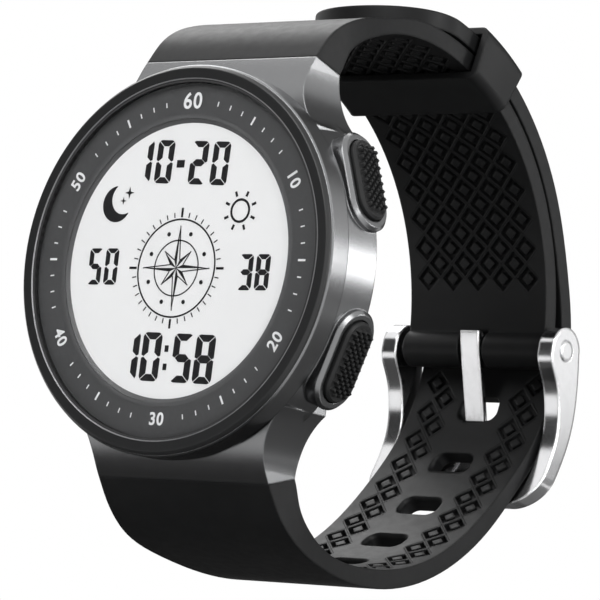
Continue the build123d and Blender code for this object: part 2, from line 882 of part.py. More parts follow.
def inner_face_radius(angle):
    """Radius of the lower strap's inner face at an angle, between its stations."""
    angle = min(angle, max(rise_shares))
    below = max(station for station in rise_shares if station <= angle)
    above = min(station for station in rise_shares if station >= angle)
    share = (angle - below) / (above - below) if above > below else 0
    rise = rise_shares[below] + share * (rise_shares[above] - rise_shares[below])
    return loop_radius + rise * layer_step


def pockets(first_angle, last_angle, radius_at, columns):
    """Places of staggered square pockets along the loop, by columns counted in half pitches."""
    places = []
    half_step = degrees(pocket_pitch / 2 / loop_radius)
    rows = int(abs(last_angle - first_angle) / half_step)
    heading = 1 if last_angle > first_angle else -1
    for row in range(rows + 1):
        angle = first_angle + heading * row * half_step
        plane = skin(radius_at(angle), angle)
        for column in columns:
            if (row + column) % 2 == 0:
                places.append(plane.location * Location((column * pocket_pitch / 2, 0, 0)))
    return places


pocket_half_diagonal = pocket_side / sqrt(2)
side_columns = int(2 * (strap_half_width - pocket_margin - pocket_half_diagonal) / pocket_pitch)
upper_columns = range(-side_columns, side_columns + 1)
hole_reach = hole_half_width + hole_bevel + pocket_half_diagonal
lower_columns = [column for column in upper_columns if abs(column) * pocket_pitch > 2 * hole_reach]
upper_pockets = pockets(
    upper_pocket_first_angle,
    upper_pocket_last_angle,
    lambda angle: loop_radius,
    upper_columns,
)
lower_pockets = pockets(
    lower_pocket_first_angle,
    lower_pocket_last_angle,
    inner_face_radius,
    lower_columns,
)

# Cutter for one pocket: a square trench round an island left as high as the strap's face
with BuildPart() as pocket_cutter:
    with Locations(Rotation(0, 0, pocket_turn)):
        Box(pocket_side, pocket_side, 2 * pocket_depth)
        Box(island_side, island_side, 2 * pocket_depth, mode=Mode.SUBTRACT)

outer_crown_radius = loop_radius + upper_thickness

# Outline that both straps keep within, seen along the 12 o'clock axis. Its side is given by
# shares of the narrowing left and of the way to the narrow run
taper_shares = ((0.62, 0.25), (0.22, 0.556))
with BuildSketch(Plane.XY) as taper_outline:
    with BuildLine():
        excess = lug_half_width - strap_half_width
        taper_start = (lug_half_width, -lug_wrist_height)
        taper_end = (strap_half_width, taper_end_depth)
        Spline(
            taper_start,
            *[
                (strap_half_width + left * excess, way * taper_end_depth)
                for left, way in taper_shares
            ],
            taper_end,
            tangents=[(0, 1), (0, 1)],
            tangent_scalars=even_pull,
        )
        far = 2 * loop_radius + loop_centre_depth
        Polyline(taper_end, (strap_half_width, far), (0, far), (0, -case_thickness))
        Polyline((0, -case_thickness), (lug_half_width, -case_thickness), taper_start)
    make_face()
    mirror(about=Plane.YZ)

# Upper strap: tab, tapering run over the wrist, and the roll that holds the buckle pin
pin_centre = loop_point(loop_radius + upper_thickness / 2, pin_angle)
with BuildPart() as strap_upper:
    with BuildSketch(Plane.YZ):
        with BuildLine():
            start = (-lug_end_height, lug_end_reach)
            crown = loop_point(outer_crown_radius, crown_angle)
            slope = radians(hood_end_slope)
            Spline(
                start,
                *loop_places(upper_outer_shares),
                crown,
                tangents=[(sin(slope), cos(slope)), (1, 0)],
                tangent_scalars=even_pull,
            )
            ThreePointArc(
                crown,
                loop_point(outer_crown_radius, crown_angle / 2),
                loop_point(outer_crown_radius, pin_angle),
            )
            Line(loop_point(outer_crown_radius, pin_angle), loop_point(loop_radius, pin_angle))
            inner_crown = loop_point(loop_radius, crown_angle)
            ThreePointArc(
                loop_point(loop_radius, pin_angle),
                loop_point(loop_radius, crown_angle / 2),
                inner_crown,
            )
            stop = (-lug_wrist_height, lug_wrist_reach)
            Spline(
                inner_crown,
                *loop_places(upper_inner_shares),
                stop,
                tangents=[(-1, 0), (-sin(slope), -cos(slope))],
                tangent_scalars=even_pull,
            )
            Line(stop, start)
        make_face()
        with Locations(pin_centre):
            Circle(roll_radius)
    extrude(amount=lug_half_width, both=True)
    extrude(taper_outline.sketch, amount=2 * loop_radius, both=True, mode=Mode.INTERSECT)
    with BuildSketch(Plane.YZ):
        with Locations((-tab_height, tab_reach)):
            Circle(tab_radius)
        with Locations((-tab_height, tab_reach + tab_radius / 2)):
            Rectangle(2 * tab_radius, tab_radius)
    extrude(amount=tab_half_width, both=True)
    with BuildSketch(Plane.YZ):
        with Locations((-tab_height, tab_reach)):
            Circle(bar_bore_radius)
        with Locations(pin_centre):
            Circle(pin_radius + running_gap)
    extrude(amount=lug_half_width, both=True, mode=Mode.SUBTRACT)
    with BuildSketch(Plane.YZ):
        with Locations(pin_centre):
            Circle(roll_radius + slide_gap)
    extrude(amount=tongue_slot_half_width, both=True, mode=Mode.SUBTRACT)
    with Locations(*upper_pockets):
        add(pocket_cutter.part, mode=Mode.SUBTRACT)
finish(strap_upper, "strap_upper")

# Lower strap: tab, run under the wrist, holes, and the tail lying over the upper strap
tail_inner_radius = loop_radius + layer_step
tail_outer_radius = tail_inner_radius + lower_thickness
last_station = max(rise_shares)
with BuildPart() as strap_lower:
    with BuildSketch(Plane.YZ):
        with BuildLine():
            start = (-lug_end_height, -lug_end_reach)
            outer_points = lower_face(1)
            inner_points = lower_face(0)
            Spline(
                start,
                *loop_places(lower_outer_shares),
                *outer_points,
                tangents=[(sin(slope), -cos(slope)), tangent_at(last_station)],
                tangent_scalars=even_pull,
            )
            tip_outer = loop_point(tail_outer_radius, tip_angle)
            tip_inner = loop_point(tail_inner_radius, tip_angle)
            middle = (last_station + tip_angle) / 2
            ThreePointArc(outer_points[-1], loop_point(tail_outer_radius, middle), tip_outer)
            Line(tip_outer, tip_inner)
            ThreePointArc(tip_inner, loop_point(tail_inner_radius, middle), inner_points[-1])
            stop = (-lug_wrist_height, -lug_wrist_reach)
            Spline(
                *inner_points[::-1],
                *loop_places(lower_inner_shares),
                stop,
                tangents=[
                    tuple(-value for value in tangent_at(last_station)),
                    (-sin(slope), cos(slope)),
                ],
                tangent_scalars=even_pull,
            )
            Line(stop, start)
        make_face()
    extrude(amount=lug_half_width, both=True)
    with BuildSketch(Plane.XY):
        Rectangle(4 * loop_radius, 4 * loop_radius)
        add(taper_outline.sketch, mode=Mode.SUBTRACT)
    extrude(amount=-2 * loop_radius, mode=Mode.SUBTRACT)
    with BuildSketch(Plane.XY):
        for side in (1, -1):
            with Locations((side * (strap_half_width + loop_radius), 0)):
                Rectangle(2 * loop_radius, 4 * loop_radius)
    extrude(amount=2 * loop_radius, mode=Mode.SUBTRACT)
    with BuildSketch(skin(tail_inner_radius - overrun, tip_angle)):
        tip_length = tip_length_share * strap_half_width
        Rectangle(4 * strap_half_width, 2 * tip_length)
        with Locations((0, tip_length)):
            Ellipse(strap_half_width, tip_length, mode=Mode.SUBTRACT)
    extrude(amount=lower_thickness + 2 * overrun, mode=Mode.SUBTRACT)
    with BuildSketch(Plane.YZ):
        with Locations((-tab_height, -tab_reach)):
            Circle(tab_radius)
        with Locations((-tab_height, -tab_reach - tab_radius / 2)):
            Rectangle(2 * tab_radius, tab_radius)
    extrude(amount=tab_half_width, both=True)
    with BuildSketch(Plane.YZ):
        with Locations((-tab_height, -tab_reach)):
            Circle(bar_bore_radius)
    extrude(amount=lug_half_width, both=True, mode=Mode.SUBTRACT)
    for step in range(-holes_behind, holes_ahead + 1):
        angle = tongue_hole_angle + step * hole_pitch_angle
        with BuildSketch(skin(loop_radius - overrun, angle)):
            RectangleRounded(2 * hole_half_width, 2 * hole_half_length, hole_corner_radius)
        extrude(amount=tail_outer_radius - loop_radius + 2 * overrun, mode=Mode.SUBTRACT)
        with BuildSketch(skin(inner_face_radius(angle) - hole_bevel_depth / 2, angle)):
            RectangleRounded(
                2 * (hole_half_width + hole_bevel),
                2 * (hole_half_length + hole_bevel),
                hole_corner_radius + hole_bevel,
            )
        extrude(amount=hole_bevel_depth, taper=hole_bevel_angle, mode=Mode.SUBTRACT)
    with Locations(*lower_pockets):
        add(pocket_cutter.part, mode=Mode.SUBTRACT)
    with BuildSketch(Plane.YZ):
        with BuildLine():
            Spline(*tongue_room)
            Polyline(
                tongue_room[-1],
                loop_point(tail_outer_radius + overrun, slot_end_angle),
                loop_point(tail_outer_radius + overrun, tongue_hole_angle),
                tongue_room[0],
            )
        make_face()
    extrude(amount=tongue_half_width + tongue_gap, both=True, mode=Mode.SUBTRACT)
finish(strap_lower, "strap_lower")

# Buckle pin: straight pin through the strap's roll, headed in both arms
arm_outer = arm_inner_half_width + arm_width
with BuildPart() as buckle_pin:
    with BuildSketch(Plane.YZ):
        with Locations(pin_centre):
            Circle(pin_radius)
    extrude(amount=arm_outer, both=True)
    for side in (1, -1):
        with BuildSketch(Plane.YZ.offset(side * (arm_outer + pin_head_stand))):
            with Locations(pin_centre):
                Circle(pin_head_radius)
        extrude(amount=-side * pin_head_height)
finish(buckle_pin, "buckle_pin")

# Buckle frame: two curved arms joined by a bow that lies across the strap's outer face
arm_outer_shares = {-9.6: 1.156, -16.2: 1.175, -23: 1.179}
arm_inner_shares = {-29: 1.105, -24: 1.103, -19.4: 1.092, -14.4: 1.059, -8.5: 0.996, -4.8: 0.948}
with BuildPart() as buckle_frame:
    with BuildSketch(Plane.YZ):
        with BuildLine():
            boss_back = loop_point(loop_radius + upper_thickness / 2 + arm_boss_radius, pin_angle)
            boss_face = loop_point(loop_radius + upper_thickness / 2 - arm_boss_radius, pin_angle)
            bow_back = loop_point(arm_outer_shares[-23] * loop_radius, bow_end_angle)
            bow_face = loop_point(arm_inner_shares[-29] * loop_radius, bow_end_angle)
            Spline(
                boss_back,
                *[loop_point(share * loop_radius, angle) for angle, share in arm_outer_shares.items()],
                bow_back,
            )
            Line(bow_back, bow_face)
            Spline(
                bow_face,
                *[loop_point(share * loop_radius, angle) for angle, share in arm_inner_shares.items()],
                boss_face,
            )
            Line(boss_face, boss_back)
        make_face()
        with Locations(pin_centre):
            Circle(arm_boss_radius)
    extrude(amount=arm_outer, both=True)
    bow_turn = radians(bow_tilt)
    bow_plane = Plane(
        origin=(0, *pin_centre),
        x_dir=(1, 0, 0),
        z_dir=(0, cos(bow_turn), sin(bow_turn)),
    )
    with BuildSketch(bow_plane):
        RectangleRounded(2 * arm_outer, 2 * bow_reach, bow_corner_radius)
        RectangleRounded(
            2 * arm_inner_half_width,
            2 * (bow_reach - bow_width),
            window_corner_radius,
            mode=Mode.SUBTRACT,
        )
    extrude(amount=bow_reach, both=True, mode=Mode.INTERSECT)
    with BuildSketch(Plane.YZ):
        with BuildLine():
            strap_room = lower_face(1, bow_gap)
            Spline(*strap_room)
            Polyline(strap_room[-1], (loop_centre_depth, loop_centre_rise), strap_room[0])
        make_face()
    extrude(amount=arm_inner_half_width, both=True, mode=Mode.SUBTRACT)
    notch_reach = hypot(
        tongue_back[-1][0] - pin_centre[0],
        tongue_back[-1][1] - pin_centre[1],
    )
    with BuildSketch(Plane.YZ):
        with Locations(pin_centre):
            Circle(notch_reach + tongue_gap)
    extrude(amount=tongue_half_width + tongue_gap, both=True, mode=Mode.SUBTRACT)
    with BuildSketch(Plane.YZ):
        with Locations(pin_centre):
            Circle(pin_radius)
    extrude(amount=arm_outer, both=True, mode=Mode.SUBTRACT)
    for side in (1, -1):
        with BuildSketch(Plane.YZ.offset(side * arm_outer)):
            with Locations(pin_centre):
                Circle(pin_head_radius)
        extrude(amount=-side * (pin_head_height - pin_head_stand), mode=Mode.SUBTRACT)
finish(buckle_frame, "buckle_frame")

# Buckle tongue: strip with an eye on the pin, through the first hole to the bow's notch
with BuildPart() as buckle_tongue:
    with BuildSketch(Plane.YZ):
        with BuildLine():
            Spline(*tongue_face)
            Line(tongue_face[-1], tongue_back[-1])
            Spline(*tongue_back[::-1])
            Line(tongue_back[0], tongue_face[0])
        make_face()
        with Locations(pin_centre):
            Circle(tongue_eye_radius)
            Circle(pin_radius + running_gap, mode=Mode.SUBTRACT)
    extrude(amount=tongue_half_width, both=True)
finish(buckle_tongue, "buckle_tongue")

# Keeper: closed rubber band round both straps, curved like the loop
with BuildPart() as keeper:
    keeper_low = loop_radius - keeper_gap - keeper_wall
    keeper_high = tail_outer_radius + keeper_gap + keeper_wall
    keeper_half_width = strap_half_width + keeper_side_gap + keeper_wall
    keeper_degrees = degrees(2 * keeper_length / (keeper_low + keeper_high))
    with BuildSketch(section(keeper_angle - keeper_degrees / 2)):
        with Locations((0, (keeper_low + keeper_high) / 2)):
            RectangleRounded(2 * keeper_half_width, keeper_high - keeper_low, keeper_corner_radius)
            Rectangle(
                2 * (keeper_half_width - keeper_wall),
                keeper_high - keeper_low - 2 * keeper_wall,
                mode=Mode.SUBTRACT,
            )
    revolve(axis=loop_axis, revolution_arc=keeper_degrees)
finish(keeper, "keeper")
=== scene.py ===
import math

import bpy
import numpy as np
from mathutils import Matrix, Vector


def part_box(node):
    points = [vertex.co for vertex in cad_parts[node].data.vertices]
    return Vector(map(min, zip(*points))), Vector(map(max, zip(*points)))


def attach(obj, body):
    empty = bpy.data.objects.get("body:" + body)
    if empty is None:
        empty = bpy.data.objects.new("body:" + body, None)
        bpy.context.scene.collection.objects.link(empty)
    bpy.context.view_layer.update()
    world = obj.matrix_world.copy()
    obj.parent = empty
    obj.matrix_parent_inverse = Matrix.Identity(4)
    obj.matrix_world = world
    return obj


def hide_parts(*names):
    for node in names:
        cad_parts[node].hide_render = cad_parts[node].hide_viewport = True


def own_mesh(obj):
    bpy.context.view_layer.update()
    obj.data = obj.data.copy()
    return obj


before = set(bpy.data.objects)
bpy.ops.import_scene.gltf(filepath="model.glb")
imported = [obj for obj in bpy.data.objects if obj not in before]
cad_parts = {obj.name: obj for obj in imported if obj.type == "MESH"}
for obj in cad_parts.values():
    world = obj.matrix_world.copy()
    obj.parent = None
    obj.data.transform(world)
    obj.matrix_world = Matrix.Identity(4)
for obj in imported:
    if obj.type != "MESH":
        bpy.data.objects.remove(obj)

bl_info = {
    "name": "Digital watch finish",
    "version": (1, 0, 0),
    "blender": (4, 5, 0),
    "location": "View3D > Sidebar > Watch",
    "description": "Finishes, display print and studio for a round digital wristwatch",
    "category": "Object",
}

MM = 0.001
# Places on the watch, in millimetres: +X to 3 o'clock, +Z to 12 o'clock, dial towards -Y
DISPLAY_HEIGHT = 11.44
RING_HEIGHT = 11.9
PRINT_LIFT = 0.012
PRINT_THICKNESS = 0.03
LIP_PROFILE = ((17.4, 11.69), (17.86, 11.885), (17.86, 11.912), (17.4, 11.912))
CRYSTAL_EDGE_RADIUS = 21.74
BEZEL_EDGE_RADIUS = 22.24
# Side of 3 o'clock and end of 12 o'clock of each pusher, and its facing in degrees
PUSHER_SIDES = {"light": (-1, 1), "mode": (-1, -1), "start": (1, 1), "reset": (1, -1)}
PUSHER_FACING = 19.5
# Return springs in millimetres: length, radius of the coil, wire and number of turns
SPRING_LENGTH = 2.24
SPRING_RADIUS = 1.55
SPRING_WIRE = 0.26
SPRING_TURNS = 4
LOOP_CENTRE = (17.9, 0.2)
LOOP_RADIUS = 33.14
LATTICE_PITCH = 4.05
# Grooved inner face of each strap: rubber's name, bounds across, bounds in degrees, outer radius
GROOVED_FACES = {
    "strap_upper": ("strap_rubber_short", (0.0, 9.9), (14.5, 93.0), 33.4),
    "strap_lower": ("strap_rubber_long", (4.4, 9.7), (-8.0, -87.0), 36.6),
}
# Half width of a groove as a share of the pitch, and depths as shares of the strap's relief
GROOVE_HALF_WIDTH = 0.035
GROOVE_DEPTH = 0.25
GRAIN_DEPTH = 0.05
GROOVE_ROUGHNESS = 0.95
RUBBER_ROUGHNESS = (0.43, 0.49)
# Height of the strap's relief and rounding of the rubber's edges, in metres
STRAP_RELIEF = 0.00012
RUBBER_EDGE = 0.00042

# Display figures: text, left edges, lower edge, height, width and turn in degrees
DISPLAY_FIGURES = {
    "display_date": ("1020", (-8.35, -5.05, 0.32, 3.72), 9.35, 5.35, 2.62, -2.0),
    "display_hour": ("1058", (-7.3, -3.86, 1.03, 4.49), -14.85, 5.95, 2.96, -1.2),
    "display_left": ("50", (-13.95, -11.35), -3.05, 4.5, 2.05, 0.0),
    "display_right": ("38", (9.75, 12.33), -3.58, 4.36, 2.1, 0.0),
}
# Dash and dots between the figures: width and height, then the lower left corner
DISPLAY_DOTS = (
    ((1.2, 0.93), (-1.76, 11.4)),
    ((0.58, 0.8), (-0.31, -11.18)),
    ((0.58, 0.8), (-0.31, -13.4)),
)
# Crescent: centre and radius of its disc, then of the disc that bites into it
CRESCENT = ((-10.55, 6.95), 2.25, (-9.5, 7.62), 1.93)
# Stars: centre and length of the long points; the short ones are a share of those
STARS = (((-8.75, 8.35), 0.75), ((-9.6, 7.35), 0.5))
STAR_SHORT_POINT = 0.3
# Sun: inner and outer radius of its ring; then its rays' radii, count, width and turn in radians
SUN_CENTRE = (8.93, 6.05)
SUN_RING = (1.2, 1.5)
SUN_RAYS = (1.85, 2.5, 8, 0.32, 0.39)
# Compass rose: shares are of its long points' length, widths are in millimetres
ROSE_CENTRE = (0.0, -0.95)
ROSE_SHORT_POINT = 0.56
ROSE_NOTCH = 0.21
ROSE_LINE = 0.13
# Rings: inner share, outer share and parts. Ticks: inner share, outer share, count and width
ROSE_RINGS = ((0.64, 0.67, 48), (1.13, 1.17, 72))
ROSE_TICKS = ((1.2, 1.32, 36, 0.14), (1.2, 1.42, 4, 0.3))
# Beads between the points: share of their place, radius and corners
ROSE_BEADS = (0.86, 0.27, 16)

# Ring numbers: text, angle from 3 o'clock, letter height and turn, with the angles in degrees
RING_NUMBER_RADIUS = 19.45
RING_NUMBERS = (
    ("60", 90.0, 2.0, 0.0), ("10", 30.0, 1.55, -60.0), ("20", -30.0, 1.55, 60.0),
    ("30", -90.0, 1.55, 0.0), ("40", -150.0, 1.55, -60.0), ("50", 150.0, 1.55, 60.0),
)
FONT_SIZE_PER_HEIGHT = 1.38
LETTER_GROWTH = 0.05
LETTER_SPACING = 1.12
# Ticks on the dial ring: inner radius, outer radius and width
MINUTE_TICK = (19.15, 19.75, 0.16)
HALF_WAY_TICK = (18.9, 20.0, 0.26)

EDGE_METAL = (0.4, 0.4, 0.41, 1)
# Black of the crystal's edge: partly a printed border, partly painted shade of the ring's wall under the
# bezel
BORDER_PRINT_AND_SHADE_BLACK = (0.003, 0.003, 0.003, 1)
# Painted shade: near black laid into the strap's grooves
GROOVE_SHADE_BLACK = (0.0015, 0.0015, 0.0015, 1)
WHITE = (1, 1, 1, 1)
# Sockets of a Mix node for colours
MIX_FACTOR, MIX_UNDER, MIX_OVER, MIX_RESULT = 0, 6, 7, 2

# Lamps in metres and watts: place, aim, width and height, power
LAMPS = {
    "key": ((-0.1, -0.7, 0.5), (0, 0, 0), (0.5, 0.5), 4.0),
    "side": ((0.44, 0.4, 0.095), (0.02, 0, 0), (0.12, 0.12), 0.42),
    "right": ((0.7, -0.15, 0.2), (0, 0.02, 0), (0.3, 0.6), 3.0),
    "top": ((-0.4, 0.25, 0.55), (0, 0.02, 0), (0.5, 0.5), 2.4),
}
# Cards that only reflections and refractions meet, in metres: place, aim, width and height, tone
CARDS = {
    "card_front": ((-0.42, -0.5, 0.02), (0, 0, 0), (0.7, 0.8), 0.02),
    "card_floor": ((-0.055, -0.0075, -0.078), (-0.055, -0.0075, 0.5), (0.21, 0.135), 0.04),
    "card_above": ((-0.47, 0.02, 0.36), (0, 0, 0), (0.2, 0.2), 0.03),
    "card_floor_left": ((-0.17, 0.23, -0.078), (-0.17, 0.23, 0.5), (0.34, 0.34), 0.03),
    "card_floor_back": ((0.1, 0.16, -0.078), (0.1, 0.16, 0.5), (0.3, 0.22), 0.14),
    "card_floor_far": ((0.43, 0.43, -0.078), (0.43, 0.43, 0.5), (0.36, 0.32), 0.3),
    "card_back": ((-0.25, 0.5, 0.35), (-0.25, 0, 0.35), (1.0, 0.8), 0.12),
    "card_side": ((0.5, 0.42, -0.02), (0.5, 0, -0.02), (0.75, 0.1), 0.2),
}
FLOOR_REACH = 4.0
FLOOR_GLOW = 0.65
WORLD_FILL = 0.3


class WatchColours(bpy.types.PropertyGroup):
    """Colours of the watch's finishes"""

    case: bpy.props.FloatVectorProperty(
        name="Case", description="Dark grey metal of the case", subtype="COLOR", size=3,
        min=0.0, max=1.0, default=(0.23, 0.232, 0.236),
    )
    bezel: bpy.props.FloatVectorProperty(
        name="Bezel", description="Satin black of the bezel ring", subtype="COLOR", size=3,
        min=0.0, max=1.0, default=(0.013, 0.0133, 0.0138),
    )
    ring: bpy.props.FloatVectorProperty(
        name="Dial ring", description="Dark grey of the printed ring", subtype="COLOR", size=3,
        min=0.0, max=1.0, default=(0.058, 0.059, 0.061),
    )
    display: bpy.props.FloatVectorProperty(
        name="Display", description="Pale grey of the display", subtype="COLOR", size=3,
        min=0.0, max=1.0, default=(0.8, 0.805, 0.81),
    )
    ink: bpy.props.FloatVectorProperty(
        name="Segments", description="Near black of the display's segments", subtype="COLOR", size=3,
        min=0.0, max=1.0, default=(0.012, 0.012, 0.013),
    )
    print_white: bpy.props.FloatVectorProperty(
        name="Ring print", description="Pale print on the dial ring", subtype="COLOR", size=3,
        min=0.0, max=1.0, default=(0.75, 0.76, 0.77),
    )
    rubber: bpy.props.FloatVectorProperty(
        name="Rubber", description="Black of the strap and the pushers", subtype="COLOR", size=3,
        min=0.0, max=1.0, default=(0.0075, 0.0077, 0.008),
    )
    chrome: bpy.props.FloatVectorProperty(
        name="Buckle", description="Polished metal of the buckle", subtype="COLOR", size=3,
        min=0.0, max=1.0, default=(0.82, 0.82, 0.83),
    )


class WatchDisplay(bpy.types.PropertyGroup):
    """Sizes of the display's figures"""

    stroke: bpy.props.FloatProperty(
        name="Stroke", description="Segment width as a share of a figure's width",
        min=0.1, max=0.4, default=0.33, subtype="FACTOR",
    )
    gap: bpy.props.FloatProperty(
        name="Gap", description="Gap between segments", unit="LENGTH",
        min=0.0, max=0.001, default=0.00008,
    )
    rose_radius: bpy.props.FloatProperty(
        name="Rose", description="Length of the compass rose's long points", unit="LENGTH",
        min=0.001, max=0.008, default=0.0052,
    )


class WatchStage(bpy.types.PropertyGroup):
    """Camera and lamps"""

    azimuth: bpy.props.FloatProperty(
        name="Azimuth", description="Camera's angle from the dial's front towards 3 o'clock",
        subtype="ANGLE", default=math.radians(38.4686),
    )
    elevation: bpy.props.FloatProperty(
        name="Elevation", description="Camera's angle above the middle of the watch",
        subtype="ANGLE", default=math.radians(-7.2489),
    )
    roll: bpy.props.FloatProperty(
        name="Roll", description="Turn of the picture about its middle",
        subtype="ANGLE", default=math.radians(6.3819),
    )
    distance: bpy.props.FloatProperty(
        name="Distance", description="Camera's distance from its aim", unit="LENGTH", default=0.474366,
    )
    aim: bpy.props.FloatVectorProperty(
        name="Aim", description="Point that the camera looks at", subtype="TRANSLATION", size=3,
        default=(0.012296, -0.002711, -0.0032),
    )
    lens: bpy.props.FloatProperty(
        name="Lens", description="Focal length on a 36 mm frame, in millimetres", default=236.6,
    )
    floor_drop: bpy.props.FloatProperty(
        name="Floor", description="Depth of the floor below the watch's middle", unit="LENGTH",
        default=0.08,
    )


# Meshes worked out as arrays


def new_piece(name, vertices, faces, material, body="watch", smooth=False):
    """Object from an array of vertices in millimetres and a list of face index lists."""
    mesh = bpy.data.meshes.new(name)
    mesh.from_pydata((np.asarray(vertices, float) * MM).tolist(), [], faces)
    mesh.update()
    mesh.polygons.foreach_set("use_smooth", np.full(len(mesh.polygons), smooth))
    mesh.materials.append(material)
    piece = bpy.data.objects.new(name, mesh)
    bpy.context.scene.collection.objects.link(piece)
    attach(piece, body)
    return piece


def plates(outlines, low):
    """Flat plates on the dial from (n, k, 2) outlines.

    Each outline of k points (x, z) becomes a closed plate: its points at the lower height,
    the same points a print's thickness nearer the dial's front, k side quads and two caps.
    Outlines that run clockwise are turned round, so all faces point outwards.
    """
    outlines = np.asarray(outlines, float)
    x, z = outlines[..., 0], outlines[..., 1]
    area = (x * np.roll(z, -1, 1) - np.roll(x, -1, 1) * z).sum(1)
    outlines = np.where(area[:, None, None] < 0, outlines[:, ::-1], outlines)
    count, corners = outlines.shape[:2]
    layers = [
        np.stack([outlines[..., 0], np.full((count, corners), -height), outlines[..., 1]], -1)
        for height in (low, low + PRINT_THICKNESS)
    ]
    vertices = np.concatenate(layers, 1).reshape(-1, 3)
    start = (np.arange(count) * 2 * corners)[:, None]
    step = np.arange(corners)[None]
    after = (step + 1) % corners
    bottom = (start + step)[:, ::-1]
    top = start + corners + step
    sides = np.stack(
        [start + step, start + after, start + corners + after, start + corners + step], -1
    )
    faces = bottom.tolist() + top.tolist() + sides.reshape(-1, 4).tolist()
    return vertices, faces


def circle(centre, radius, corners=48):
    """(corners, 2) points of a circle: centre + radius * (cos t, sin t)."""
    turn = np.linspace(0, 2 * np.pi, corners, endpoint=False)
    return np.stack([centre[0] + radius * np.cos(turn), centre[1] + radius * np.sin(turn)], -1)


def hoops(centre, inner, outer, parts=48):
    """(parts, 4, 2) quads that make a flat ring: each spans one step of turn between two radii."""
    turn = np.linspace(0, 2 * np.pi, parts + 1)
    ray = np.stack([np.cos(turn), np.sin(turn)], -1)
    near, far = np.asarray(centre) + inner * ray, np.asarray(centre) + outer * ray
    return np.stack([near[:-1], far[:-1], far[1:], near[1:]], 1)


def bars(starts, ends, width):
    """(n, 4, 2) quads along straight strokes: each end moved half a width to either side."""
    starts, ends = np.asarray(starts, float), np.asarray(ends, float)
    along = ends - starts
    along /= np.linalg.norm(along, axis=1, keepdims=True)
    side = np.stack([-along[:, 1], along[:, 0]], -1) * width / 2
    return np.stack([starts - side, ends - side, ends + side, starts + side], 1)


def rays(centre, inner, outer, count, width, turn=0.0):
    """Strokes pointing out from a centre at even angles, between two radii."""
    angle = turn + np.arange(count) * 2 * np.pi / count
    ray = np.stack([np.cos(angle), np.sin(angle)], -1)
    return bars(np.asarray(centre) + inner * ray, np.asarray(centre) + outer * ray, width)


def figure_segments(width, height, stroke, gap):
    """The seven segments of a figure, as (7, 6, 2) outlines in order a to g.

    Outer segments are bars with mitred ends and a corner cut off; the middle one is a pointed
    bar. The lower and left ones are the upper and right ones mirrored about the figure's middle.
    """
    w, h, t, g = width, height, stroke, gap
    flat, cut = 0.88 * t, 0.16 * t
    top = [
        (g + cut, h - cut), (g + 3 * cut, h), (w - g - 3 * cut, h), (w - g - cut, h - cut),
        (w - g - t, h - flat), (g + t, h - flat),
    ]
    right = [
        (w - cut, h - g - cut), (w, h - g - 3 * cut), (w, h / 2 + g / 2 + cut),
        (w - t / 3, h / 2 + g / 2), (w - t, h / 2 + t / 2 + g / 2), (w - t, h - flat - g),
    ]
    middle = [
        (t / 3 + g, h / 2), (t, h / 2 + t / 2), (w - t, h / 2 + t / 2),
        (w - t / 3 - g, h / 2), (w - t, h / 2 - t / 2), (t, h / 2 - t / 2),
    ]
    top, right, middle = np.array(top), np.array(right), np.array(middle)
    down, left = np.array([1, -1]), np.array([-1, 1])
    flip_z, flip_x = np.array([0, h]), np.array([w, 0])
    return np.stack([
        top, right, right * down + flip_z, top * down + flip_z,
        right * down * left + flip_z + flip_x, right * left + flip_x, middle,
    ])


LIT = {
    "0": "abcdef", "1": "bc", "2": "abged", "3": "abgcd", "4": "fgbc",
    "5": "afgcd", "6": "afgedc", "7": "abc", "8": "abcdefg", "9": "abcdfg",
}


def turned(outlines, degrees):
    """Outlines turned about the middle of their box."""
    low, high = outlines.min((0, 1)), outlines.max((0, 1))
    middle = (low + high) / 2
    cos, sin = math.cos(math.radians(degrees)), math.sin(math.radians(degrees))
    return (outlines - middle) @ np.array([(cos, sin), (-sin, cos)]) + middle


def crescent_strips(outer_centre, outer_radius, bite_centre, bite_radius, parts=48):
    """(parts - 2, 4, 2) quads of a crescent: a disc less a second disc.

    The two circles cross where the angle from the line between their centres has the cosine
    (d^2 + r1^2 - r2^2) / (2 d r1); both arcs run from one crossing to the other.
    The quads at the two tips close to a point and are left out.
    """
    outer_centre, bite_centre = np.asarray(outer_centre), np.asarray(bite_centre)
    line = bite_centre - outer_centre
    distance = np.linalg.norm(line)
    lean = math.atan2(line[1], line[0])
    arcs = []
    for centre, radius, other, sign in (
        (outer_centre, outer_radius, bite_radius, 1), (bite_centre, bite_radius, outer_radius, -1),
    ):
        half = math.acos((distance**2 + radius**2 - other**2) / (2 * distance * radius))
        if sign > 0:
            turn = np.linspace(lean + half, lean + 2 * np.pi - half, parts + 1)
        else:
            turn = np.linspace(lean + np.pi - half, lean + np.pi + half, parts + 1)
        arcs.append(centre + radius * np.stack([np.cos(turn), np.sin(turn)], -1))
    outer, inner = arcs
    return np.stack([inner[:-1], outer[:-1], outer[1:], inner[1:]], 1)[1:-1]


def figures(text, places, low, height, width, share, gap):
    """(n, 6, 2) outlines of the lit segments of each figure of a text at its left edge's place."""
    segments = figure_segments(width, height, share * width, gap)
    lit = [
        segments["abcdefg".index(letter)] + np.array([place, low])
        for figure, place in zip(text, places)
        for letter in LIT[figure]
    ]
    return np.stack(lit)


